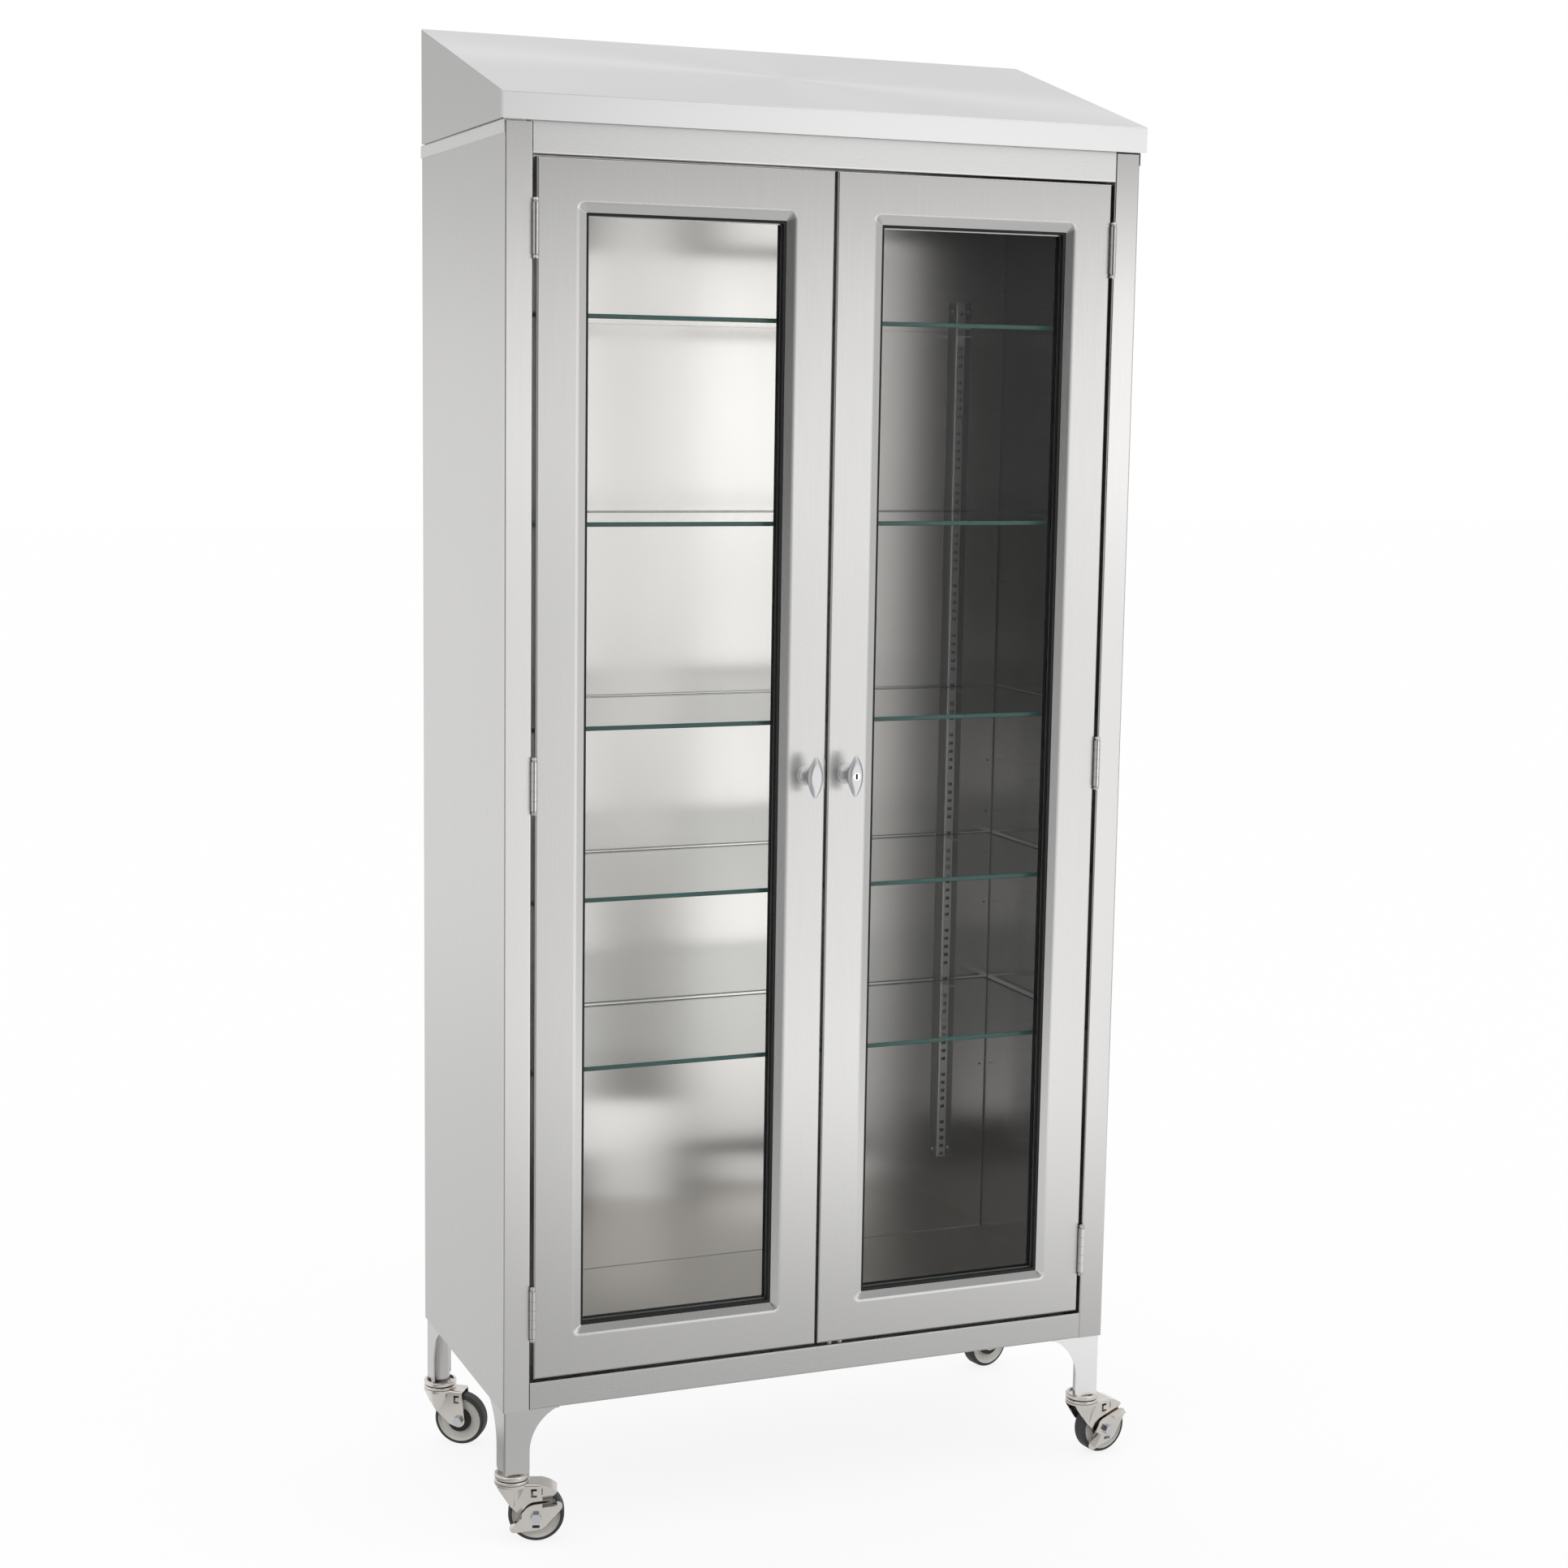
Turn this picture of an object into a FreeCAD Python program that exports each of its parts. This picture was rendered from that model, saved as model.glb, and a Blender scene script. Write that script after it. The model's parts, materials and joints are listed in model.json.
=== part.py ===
import FreeCAD, Part
import os
from math import asin, atan2, cos, degrees, radians, sin, sqrt, tan

V = FreeCAD.Vector

# Carcass. Millimetres, +Z up from the floor, the doors face -Y.
cabinet_width = 914.4
cabinet_depth = 406.4
box_height = 1701.8
sheet = 1.2
bend = 2.0
stile_width = 37.8
bottom_rail_height = 38.1
top_rail_height = 42.5
jamb_depth = 27.0
back_flange = 16.0
back_recess = 14.0
floor_rise = 12.0
stop_gap = 2.0
ledge_lap = 12.0
base_flange = 25.0
cap_skirt = 18.0

# Hood
hood_side_overhang = 4.3
hood_front_overhang = 10.0
hood_front_drop = 1.6
hood_lip = 34.0
hood_height = 156.2
hood_back_inset = 16.0
hood_flange = 15.0

# Legs
leg_height = 91.0
leg_gauge = 2.0
leg_inset = 2.5
leg_top_width = 78.0
leg_foot_width = 36.0
leg_curve_height = 60.0
leg_foot_radius = 6.0
leg_bend = 3.0
socket_radius = 14.0

# Doors
door_depth = 28.6
door_side_gap = 5.0
door_top_gap = 2.6
door_bottom_gap = 4.0
door_centre_gap = 3.5
window_margin = 55.5
bevel_width = 12.0
bevel_depth = 4.0
bevel_round = 14.0
window_corner = 8.0
sight_corner = 1.5
gasket_cover = 10.0
gasket_lip = 8.0
gasket_reveal = 3.5
glass_thickness = 5.0
glass_bite = 6.0
glass_slack = 0.5
liner_flange = 15.0
strike_length = 40.0
strike_width = 18.0
strike_gauge = 1.0

# Hinges
hinge_length = 64.0
hinge_spread = 716.0
knuckle_radius = 4.5
knuckle_count = 5
knuckle_gap = 0.3
hinge_pin_radius = 2.5
hinge_tip_length = 7.0
hinge_proud = 3.5
leaf_gauge = 2.0
leaf_width = 24.0

# Knobs, latch and lock
knob_reach = 35.0
knob_height = 57.0
knob_width = 22.0
knob_neck_radius = 14.0
knob_neck_length = 14.0
spindle_radius = 6.0
latch_length = 45.0
latch_width = 14.0
latch_gauge = 2.5
latch_gap = 0.8
plug_radius = 5.5
plug_length = 16.0
plug_proud = 0.6
keyway_width = 1.6
keyway_height = 7.0
keyway_depth = 3.0
# (radius share, distance share) along the neck, from its flange over a bead to the head
neck_shares = (
    (1, 0), (0.99, 0.14), (0.84, 0.24), (0.89, 0.34), (0.8, 0.46), (0.66, 0.66), (0.6, 0.86), (0.62, 1),
)
# (distance share, height share, width share, tip radius as a share of the half width) of the head's
# sections, from the neck to the rim and from the rim over the domed face
head_back_shares = (
    (0.34, 0.3, 0.72, 0.9), (0.55, 0.46, 0.8, 0.7), (0.74, 0.74, 0.92, 0.4), (0.9, 1, 1, 0.26),
)
head_face_shares = ((0.9, 1, 1, 0.26), (0.96, 0.82, 0.84, 0.34), (1, 0.5, 0.58, 0.5))

# Shelves and their supports
shelf_thickness = 6.0
shelf_front_gap = 4.6
shelf_slack = 2.0
slot_pitch = 12.87
slot_lead = 4.8
slot_group = 6
slot_width = 7.0
slot_height = 5.0
standard_rise = 172.0
standard_top_gap = 195.0
standard_gauge = 1.0
standard_bend = 1.0
standard_height = 6.0
standard_channel = 15.0
standard_width = 38.0
rear_standard_x = 379.0
front_standard_setback = 58.0
clip_length = 22.0
clip_width = 12.0
clip_height = 12.0
clip_gauge = 1.6
clip_lift = 6.0
hook_slack = 0.5
screw_radius = 2.5
screw_height = 1.5
stud_radius = 4.0
stud_height = 3.0
stud_setback = 10.0
stud_positions = (24.0, 40.0)
# heights of the five shelves as shares of the row of slots
shelf_shares = (0.205, 0.38, 0.555, 0.755, 0.96)

# Casters
wheel_radius = 38.1
caster_height = 95.0
caster_trail = 33.0
tyre_width = 22.0
tyre_depth = 5.4
tyre_round = 4.0
hub_web_width = 15.0
hub_boss_radius = 17.5
fork_gauge = 2.5
fork_round = 3.0
fork_inside = 26.0
fork_end_play = 0.5
fork_nose = 5.0
fork_tail = 12.0
fork_toe_radius = 10.0
fork_heel_reach = 14.0
fork_heel_drop = 6.0
fork_knee_reach = 34.5
fork_knee_rise = 13.0
fork_chin = 15.0
fork_chin_drop = 12.0
cup_skirt = 4.0
cup_fall = 30.0
cup_waist_share = 1 / 3
tyre_headroom = 4.0
guard_gap = 3.4
guard_angles = (50.0, 84.0)
guard_slit = 1.2
guard_slit_length = 9.0
raceway_radius = 24.0
raceway_height = 4.6
raceway_round = 2.0
raceway_gap = 1.2
raceway_rim = 4.0
raceway_groove = 2.5
stem_radius = 5.5
stem_length = 45.0
king_pin_radius = 5.0
king_pin_head_radius = 8.0
king_pin_head = 2.0
axle_radius = 4.0
bolt_flats = 13.0
bolt_head = 6.0
bracket_width = 8.0
bracket_height = 12.0
bracket_bar = 3.0
bracket_lead = 7.0
bracket_drop = 6.5
lever_gauge = 2.0
lever_standoff = 3.0
lever_collar_radius = 7.0
lever_boss_radius = 18.0
lever_arm_length = 33.0
lever_arm_width = 13.0
lever_tab_length = 20.0
lever_tab_depth = 13.0
lever_slot_width = 10.0
lever_slot_height = 4.0
lever_slot_drop = 11.0
# corner name: side along X, side along Y, heading of the trailing wheel, angle of its brake lever or None
casters = {
    "front_left": (-1, -1, -18.0, 28.0),
    "front_right": (1, -1, 8.0, 40.0),
    "rear_left": (-1, 1, -35.0, None),
    "rear_right": (1, 1, 15.0, None),
}

# Fits
running_clearance = 0.05
turning_gap = 0.4
overrun = 5.0
tiny = 0.001

# Levels and planes that follow from the sizes above
half_width = cabinet_width / 2
front = -cabinet_depth / 2
rear = cabinet_depth / 2
base = leg_height + caster_height
roof = base + box_height
inner_half = half_width - sheet
inner_rear = rear - back_recess
opening_half = half_width - stile_width
ledge_top = base + bottom_rail_height
opening_top = roof - top_rail_height
floor_top = ledge_top + floor_rise
stop_plane = front + door_depth + stop_gap
door_bottom = ledge_top + door_bottom_gap
door_top = opening_top - door_top_gap
door_back = front + door_depth
middle_height = base + box_height / 2
knob_x = door_centre_gap / 2 + window_margin / 2
hinge_x = opening_half - door_side_gap / 2
hinge_y = front - hinge_proud
hinge_heights = (middle_height - hinge_spread, middle_height, middle_height + hinge_spread)
standard_bottom = base + standard_rise
standard_top = roof - standard_top_gap
slot_count = int((standard_top - standard_bottom - slot_lead) / slot_pitch)
shelf_slots = [round(share * slot_count) for share in shelf_shares]
stem_x = half_width - leg_inset - leg_gauge - socket_radius
stem_y = rear - leg_inset - leg_gauge - socket_radius
crown_top = 2 * wheel_radius + tyre_headroom + fork_gauge
fork_half = fork_inside / 2 + fork_gauge
lever_face = -fork_half - lever_standoff - lever_gauge


def box(x0, x1, y0, y1, z0, z1):
    """Block between two corners."""
    return Part.makeBox(x1 - x0, y1 - y0, z1 - z0, V(x0, y0, z0))


def line(a, b):
    return Part.LineSegment(a, b).toShape()


def fused(shapes):
    """One clean solid out of touching pieces that are welded or formed together."""
    return shapes[0].multiFuse(shapes[1:]).removeSplitter()


def folded_sheet(path, low, high, axis, gauge=sheet, radius=bend):
    """Folded sheet whose section runs along path; both path and radius lie mid-thickness."""
    points = [V(u, v, 0) for u, v in path]
    runs = [(b - a).normalize() for a, b in zip(points, points[1:])]
    normals = [V(-run.y, run.x, 0) for run in runs]
    edges = []
    ends = []
    for offset in (gauge / 2, -gauge / 2):
        start = points[0] + normals[0] * offset
        ends.append(start)
        for i, corner in enumerate(points[1:-1]):
            hand = 1 if runs[i].cross(runs[i + 1]).z > 0 else -1
            reach = radius * tan(runs[i].getAngle(runs[i + 1]) / 2)
            enter = corner - runs[i] * reach
            centre = enter + normals[i] * hand * radius
            outward = (normals[i] + normals[i + 1]).normalize() * -hand
            first = enter + normals[i] * offset
            last = corner + runs[i + 1] * reach + normals[i + 1] * offset
            edges.append(line(start, first))
            edges.append(Part.Arc(first, centre + outward * (radius - hand * offset), last).toShape())
            start = last
        finish = points[-1] + normals[-1] * offset
        edges.append(line(start, finish))
        ends.append(finish)
    edges.append(line(ends[0], ends[2]))
    edges.append(line(ends[1], ends[3]))
    solid = Part.Face(Part.Wire(Part.sortEdges(edges)[0])).extrude(V(0, 0, high - low))
    if axis == "x":
        solid.rotate(V(), V(1, 1, 1), 120)
        solid.translate(V(low, 0, 0))
    elif axis == "y":
        solid.rotate(V(), V(1, 0, 0), 90)
        solid.translate(V(0, high, 0))
    else:
        solid.translate(V(0, 0, low))
    return solid


def mirrored(shape):
    return shape.mirror(V(), V(1, 0, 0))


def rounded_front(shape, y, radius):
    """Round every edge of a block that lies in the plane at y."""
    edges = [edge for edge in shape.Edges if all(abs(end.Y - y) < tiny for end in edge.Vertexes)]
    return shape.makeFillet(radius, edges)


def turned(profile, centre, axis):
    """Solid of revolution; profile is a closed list of points."""
    return Part.Face(Part.makePolygon(profile + profile[:1])).revolve(centre, axis, 360)


# Carcass

def side_panel():
    """Left side: back flange, side, front stile and jamb folded from one sheet."""
    side = -half_width + sheet / 2
    path = [
        (-half_width + back_flange, rear - sheet / 2),
        (side, rear - sheet / 2),
        (side, front + sheet / 2),
        (-opening_half - sheet / 2, front + sheet / 2),
        (-opening_half - sheet / 2, front + jamb_depth),
    ]
    return folded_sheet(path, base, roof - sheet - bend, "z")


def back_panel():
    """Tray between the sides, its flanges turned to the rear."""
    wing = inner_half - sheet / 2
    web = inner_rear + sheet / 2
    lip = rear - sheet - bend
    path = [(-wing, lip), (-wing, web), (wing, web), (wing, lip)]
    return folded_sheet(path, base, roof - sheet - bend, "z")


def base_pan():
    """Bottom rail, its ledge and the underside in one fold, notched round the stiles."""
    path = [
        (stop_plane + ledge_lap, ledge_top - sheet / 2),
        (front + sheet / 2, ledge_top - sheet / 2),
        (front + sheet / 2, base + sheet / 2),
        (inner_rear - sheet / 2, base + sheet / 2),
        (inner_rear - sheet / 2, base + base_flange),
    ]
    pan = folded_sheet(path, -inner_half, inner_half, "x")
    notch_end = front + jamb_depth + bend
    notch = box(opening_half, half_width, front - overrun, notch_end, base - overrun, ledge_top + overrun)
    return pan.cut(notch).cut(mirrored(notch))


def floor_panel():
    """Raised floor; its front flange stands on the ledge and stops the doors."""
    path = [
        (stop_plane + sheet / 2, ledge_top),
        (stop_plane + sheet / 2, floor_top - sheet / 2),
        (inner_rear - sheet / 2, floor_top - sheet / 2),
        (inner_rear - sheet / 2, ledge_top),
    ]
    return folded_sheet(path, -inner_half, inner_half, "x")


def top_cap():
    """Roof sheet whose sides turn down over the side panels."""
    edge = half_width + sheet / 2
    level = roof - sheet / 2
    path = [(-edge, roof - cap_skirt), (-edge, level), (edge, level), (edge, roof - cap_skirt)]
    return folded_sheet(path, front, rear, "y")


def top_rail():
    path = [
        (stop_plane + ledge_lap, opening_top + sheet / 2),
        (front + sheet / 2, opening_top + sheet / 2),
        (front + sheet / 2, roof - sheet),
    ]
    return folded_sheet(path, -opening_half, opening_half, "x")


# Hood

hood_half = half_width + hood_side_overhang
hood_path = [
    (front - hood_front_overhang + sheet / 2, roof - hood_front_drop),
    (front - hood_front_overhang + sheet / 2, roof - hood_front_drop + hood_lip),
    (rear - hood_back_inset - sheet / 2, roof + hood_height),
    (rear - hood_back_inset - sheet / 2, roof),
]


def hood_sheet():
    """Front lip, slope and back of the hood in one fold."""
    return folded_sheet(hood_path, -hood_half, hood_half, "x")


def hood_end(sheet_solid):
    """Left end plate under the hood sheet, with a bottom flange that rests on the cap."""
    outline = [V(-hood_half, y, max(z, roof)) for y, z in hood_path]
    blank = Part.Face(Part.makePolygon(outline + outline[:1])).extrude(V(sheet, 0, 0))
    plate = max(blank.cut(sheet_solid).Solids, key=lambda solid: solid.Volume)
    flange_rear = rear - hood_back_inset - sheet
    flange = box(-hood_half, -hood_half + hood_flange, front, flange_rear, roof, roof + sheet)
    return fused([plate, flange])


# Legs

def leg_flange():
    """Flat outline of one leg flange, out from the corner along X and down from the box."""
    curve_radius = ((leg_top_width - leg_foot_width) ** 2 + leg_curve_height ** 2) / (
        2 * (leg_top_width - leg_foot_width))
    curve_centre = V(leg_foot_width + curve_radius, 0, base - leg_curve_height)
    half_turn = atan2(leg_curve_height, curve_centre.x - leg_top_width) / 2
    bulge = V(curve_centre.x - curve_radius * cos(half_turn), 0, curve_centre.z + curve_radius * sin(half_turn))
    foot = base - leg_height
    toe_flat = leg_foot_width - leg_foot_radius
    toe_centre = V(toe_flat, 0, foot + leg_foot_radius)
    toe_bulge = toe_centre + V(leg_foot_radius, 0, -leg_foot_radius) * sqrt(1 / 2)
    curve_end = V(leg_foot_width, 0, curve_centre.z)
    toe_start = V(leg_foot_width, 0, toe_centre.z)
    toe_end = V(toe_flat, 0, foot)
    edges = [
        line(V(0, 0, foot), V(0, 0, base)),
        line(V(0, 0, base), V(leg_top_width, 0, base)),
        Part.Arc(V(leg_top_width, 0, base), bulge, curve_end).toShape(),
        line(curve_end, toe_start),
        Part.Arc(toe_start, toe_bulge, toe_end).toShape(),
        line(toe_end, V(0, 0, foot)),
    ]
    return Part.Face(Part.Wire(edges)).extrude(V(0, leg_gauge, 0))


def off_axis(vertex):
    """Distance of a corner from the Z axis."""
    return sqrt(vertex.X ** 2 + vertex.Y ** 2)


def leg(side_x, side_y):
    """Pressed corner leg: two curved flanges folded at the corner and a plate under the box."""
    front_flange = leg_flange()
    side_flange = leg_flange()
    side_flange.rotate(V(), V(0, 0, 1), 90)
    side_flange.translate(V(leg_gauge, 0, 0))
    corners = [V(0, 0, base), V(leg_top_width, 0, base), V(0, leg_top_width, base)]
    plate = Part.Face(Part.makePolygon(corners + corners[:1])).extrude(V(0, 0, -leg_gauge))
    shape = fused([front_flange, side_flange, plate])
    fold = [edge for edge in shape.Edges if all(off_axis(end) < tiny for end in edge.Vertexes)]
    shape = shape.makeFillet(leg_bend, fold)
    shape.translate(V(-half_width + leg_inset, front + leg_inset, 0))
    if side_x > 0:
        shape = mirrored(shape)
    if side_y > 0:
        shape = shape.mirror(V(), V(0, 1, 0))
    return shape


def leg_socket(side_x, side_y):
    """Tube in the angle of a leg that takes the caster's stem."""
    height = leg_height - leg_gauge
    foot = V(side_x * stem_x, side_y * stem_y, caster_height)
    tube = Part.makeCylinder(socket_radius, height, foot)
    return tube.cut(Part.makeCylinder(stem_radius + running_clearance, height, foot))


# Shelves

def slot_level(slot):
    return standard_bottom + slot_lead + slot * slot_pitch


def standard():
    """Hat section with slots in groups and a solid land after each; X runs along the wall, Y out of it."""
    half_channel = standard_channel / 2 - standard_gauge / 2
    foot = standard_gauge / 2
    crest = standard_height - standard_gauge / 2
    path = [
        (-standard_width / 2, foot),
        (-half_channel, foot),
        (-half_channel, crest),
        (half_channel, crest),
        (half_channel, foot),
        (standard_width / 2, foot),
    ]
    hat = folded_sheet(path, standard_bottom, standard_top, "z", standard_gauge, standard_bend)
    cuts = []
    for slot in range(slot_count):
        middle = slot_level(slot)
        if slot % slot_group < slot_group - 1:
            cuts.append(box(-slot_width / 2, slot_width / 2, standard_height / 2, standard_height + overrun,
                            middle - slot_height / 2, middle + slot_height / 2))
    return hat.cut(cuts)


def clip(slot):
    """Bent shelf clip hooked into one slot of a standard."""
    middle = slot_level(slot)
    shelf_bottom = middle + clip_lift
    face = standard_height
    path = [
        (face + clip_gauge / 2, shelf_bottom - clip_height),
        (face + clip_gauge / 2, shelf_bottom - clip_gauge / 2),
        (face + clip_length, shelf_bottom - clip_gauge / 2),
    ]
    bracket = folded_sheet(path, -clip_width / 2, clip_width / 2, "x", clip_gauge, clip_gauge)
    half_hook = slot_height / 2 - hook_slack
    half_tongue = slot_width / 2 - hook_slack
    hook = box(-half_tongue, half_tongue, standard_height / 2, face + clip_gauge,
               middle - half_hook, middle + half_hook)
    return fused([bracket, hook])


def standard_screws():
    """Pan heads on the standard's two flanges, near both ends."""
    across = (standard_width + standard_channel) / 4
    heads = []
    for x in (-across, across):
        for z in (standard_bottom + slot_pitch, standard_top - slot_pitch):
            heads.append(Part.makeCylinder(screw_radius, screw_height, V(x, standard_gauge, z), V(0, 1, 0)))
    return heads


def on_each_wall(shape):
    """The same piece at all four standards: two on the back wall, two on the side walls."""
    places = [
        (V(rear_standard_x, inner_rear, 0), 180),
        (V(-rear_standard_x, inner_rear, 0), 180),
        (V(-inner_half, front + front_standard_setback, 0), -90),
        (V(inner_half, front + front_standard_setback, 0), 90),
    ]
    copies = []
    for place, turn in places:
        copy = shape.copy()
        copy.rotate(V(), V(0, 0, 1), turn)
        copy.translate(place)
        copies.append(copy)
    return copies


def shelf(bottom):
    """Glass shelf that lies on four clips and clears the standards."""
    half = inner_half - standard_height - shelf_slack
    back_edge = inner_rear - standard_height - shelf_slack
    return box(-half, half, stop_plane + shelf_front_gap, back_edge, bottom, bottom + shelf_thickness)


# Doors

def door_span(side):
    """Left and right limits of the door on one side (-1 left, 1 right)."""
    edges = (side * (opening_half - door_side_gap), side * door_centre_gap / 2)
    return min(edges), max(edges)


def window_outline(side, inset, corner, y):
    """Closed outline of the window, inset from the door's own edges, with rounded corners."""
    low_x, high_x = door_span(side)
    x0 = low_x + inset + corner
    x1 = high_x - inset - corner
    z0 = door_bottom + inset + corner
    z1 = door_top - inset - corner
    arcs = []
    for x, z, angle in ((x0, z0, 180), (x1, z0, 270), (x1, z1, 0), (x0, z1, 90)):
        turns = [radians(angle + part) for part in (0, 45, 90)]
        arcs.append([V(x + corner * cos(turn), y, z + corner * sin(turn)) for turn in turns])
    edges = []
    for arc, following in zip(arcs, arcs[1:] + arcs[:1]):
        edges.append(Part.Arc(*arc).toShape())
        edges.append(line(arc[2], following[0]))
    return Part.Wire(edges)


def window_block(side, inset, y0, y1):
    """Block that fills the window outline between two depths."""
    return Part.Face(window_outline(side, inset, sight_corner, y0)).extrude(V(0, y1 - y0, 0))


sight_inset = window_margin + bevel_width


def door_skin(side):
    """Outer pan of a door with the dished border pressed in round its window."""
    x0, x1 = door_span(side)
    pan = rounded_front(box(x0, x1, front, door_back, door_bottom, door_top), front, bend + sheet / 2)
    hollow = box(x0 + sheet, x1 - sheet, front + sheet, door_back + overrun,
                 door_bottom + sheet, door_top - sheet)
    pan = pan.cut(rounded_front(hollow, front + sheet, bend - sheet / 2))
    rim = window_outline(side, window_margin, window_corner, front)
    sight = window_outline(side, sight_inset, sight_corner, front + bevel_depth)
    dish = Part.makeLoft([rim, sight], True, True)
    dish_back = dish.copy()
    dish_back.translate(V(0, sheet, 0))
    hole = window_block(side, sight_inset, front - overrun, door_back)
    skin = pan.fuse(dish_back).cut(dish).cut(hole)
    reach = rim.BoundBox
    reach.enlarge(tiny)
    skin = skin.makeFillet(bevel_round, [edge for edge in skin.Edges if reach.isInside(edge.BoundBox)])
    return skin.cut(spindle_hole()) if side > 0 else skin


def door_liner(side):
    """Inner pan that closes the door's back, inside the skin's edges."""
    x0, x1 = door_span(side)
    edges = (x0 + sheet, x1 - sheet, door_bottom + sheet, door_top - sheet)
    pan = box(edges[0], edges[1], door_back - liner_flange, door_back, edges[2], edges[3])
    hollow = box(edges[0] + sheet, edges[1] - sheet, door_back - liner_flange - overrun, door_back - sheet,
                 edges[2] + sheet, edges[3] - sheet)
    liner = pan.cut(hollow).cut(window_block(side, sight_inset, front, door_back + overrun))
    return liner.cut(spindle_hole()) if side > 0 else liner


gasket_front = front + bevel_depth + sheet
glass_front = gasket_front + gasket_lip


def gasket(side):
    """Rubber channel round the window that holds the pane in its groove."""
    gasket_back = door_back - sheet
    ring = window_block(side, sight_inset - gasket_cover, gasket_front, gasket_back)
    ring = ring.cut(window_block(side, sight_inset + gasket_reveal, front, door_back))
    return ring.cut(window_block(side, sight_inset - glass_bite, glass_front, glass_front + glass_thickness))


def pane(side):
    """Clear pane, a little smaller than the groove it sits in."""
    inset = sight_inset - glass_bite + glass_slack
    return window_block(side, inset, glass_front, glass_front + glass_thickness)


def strike():
    """Thin plate on the left door's meeting edge, at the latch."""
    edge = -door_centre_gap / 2
    half = strike_length / 2
    start = front + bend + sheet
    return box(edge, edge + strike_gauge, start, start + strike_width,
               middle_height - half, middle_height + half)


# Hinges

knuckle_pitch = hinge_length / knuckle_count


def hinge_leaf(middle, turns, plate_x, plate_y):
    """Leaf of a left-hand hinge: a plate and every second knuckle."""
    bottom = middle - hinge_length / 2
    plate_end = hinge_y + leaf_width
    pieces = [box(plate_x, plate_x + leaf_gauge, hinge_y + plate_y, plate_end,
                  bottom, bottom + hinge_length)]
    for turn in range(knuckle_count):
        low = bottom + turn * knuckle_pitch
        if turn in turns:
            barrel = V(-hinge_x, hinge_y, low + knuckle_gap / 2)
            pieces.append(Part.makeCylinder(knuckle_radius, knuckle_pitch - knuckle_gap, barrel))
            pieces.append(box(plate_x, plate_x + leaf_gauge, hinge_y, hinge_y + plate_y,
                              low + knuckle_gap / 2, low + knuckle_pitch - knuckle_gap / 2))
    bore_radius = hinge_pin_radius + running_clearance
    return fused(pieces).cut(Part.makeCylinder(bore_radius, hinge_length, V(-hinge_x, hinge_y, bottom)))


def frame_leaf(middle):
    """Leaf on the jamb, with the first, third and fifth knuckle."""
    return hinge_leaf(middle, range(0, knuckle_count, 2), -opening_half, knuckle_radius + turning_gap)


def door_leaf(middle):
    """Leaf on the door's edge, with the second and fourth knuckle."""
    edge = -opening_half + door_side_gap - leaf_gauge
    return hinge_leaf(middle, range(1, knuckle_count, 2), edge, knuckle_radius + turning_gap)


def hinge_pin(middle):
    """Pin with a ball tip at each end of the barrel."""
    half = hinge_length / 2
    tip = hinge_tip_length
    # (radius share of the knuckle, height share of the tip) up one ball tip
    tip_shares = (
        (1, 0), (1, 0.1), (0.62, 0.2), (0.86, 0.38), (0.96, 0.58), (0.8, 0.8), (0.4, 0.95), (0, 1),
    )
    upper = [V(knuckle_radius * out - hinge_x, hinge_y, middle + half + tip * up)
             for out, up in tip_shares]
    lower = [V(point.x, hinge_y, 2 * middle - point.z) for point in reversed(upper)]
    shank = [V(hinge_pin_radius - hinge_x, hinge_y, middle + end) for end in (-half, half)]
    return turned(lower + shank + upper, V(-hinge_x, hinge_y, 0), V(0, 0, 1))


# Knobs, latch and lock

def spindle_hole():
    """Bearing hole for the right knob's spindle through skin and liner."""
    start = V(knob_x, front - overrun, middle_height)
    return Part.makeCylinder(spindle_radius + running_clearance, door_depth + 2 * overrun, start, V(0, 1, 0))


def knob_neck(x, face):
    """Round neck with a flared foot and a bead, turned from one flowing outline."""
    flank = [V(x + knob_neck_radius * out, face - knob_neck_length * along, middle_height)
             for out, along in neck_shares]
    curve = Part.BSplineCurve()
    curve.interpolate(flank)
    ends = [V(x, face - knob_neck_length, middle_height), V(x, face, middle_height)]
    outline = [curve.toShape(), line(flank[-1], ends[0]), line(ends[0], ends[1]), line(ends[1], flank[0])]
    return Part.Face(Part.Wire(outline)).revolve(V(x, 0, middle_height), V(0, 1, 0), 360)


def almond(centre, height, width, tip):
    """Upright pointed oval: two long side arcs that run smoothly into a small arc at each tip."""
    reach = height / 2 - tip
    side_radius = ((width / 2) ** 2 + reach ** 2 - tip ** 2) / (width - 2 * tip)
    lean = atan2(reach, side_radius - width / 2)
    join = V(tip * cos(lean), 0, reach + tip * sin(lean))
    upper = [centre + join, centre + V(-join.x, 0, join.z)]
    lower = [centre - join, centre + V(join.x, 0, -join.z)]
    sides = [centre + V(width / 2, 0, 0), centre - V(width / 2, 0, 0)]
    tips = [centre + V(0, 0, height / 2), centre - V(0, 0, height / 2)]
    stretches = [(lower[1], sides[0], upper[0]), (upper[0], tips[0], upper[1]),
                 (upper[1], sides[1], lower[0]), (lower[0], tips[1], lower[1])]
    return Part.Wire([Part.Arc(*stretch).toShape() for stretch in stretches])


def knob(side, standoff):
    """Almond-shaped knob on a flared round neck; it stands the given distance off the door."""
    x = side * knob_x
    face = front - standoff
    stretches = [knob_neck(x, face)]
    for section_shares in (head_back_shares, head_face_shares):
        sections = []
        for along, tall, wide, tip in section_shares:
            centre = V(x, face - knob_reach * along, middle_height)
            width = knob_width * wide
            sections.append(almond(centre, knob_height * tall, width, width / 2 * tip))
        stretches.append(Part.makeLoft(sections, True, False))
    return fused(stretches)


knob_face = front - turning_gap - knob_reach * head_face_shares[-1][0]
latch_plane = door_back + latch_gap


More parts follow.
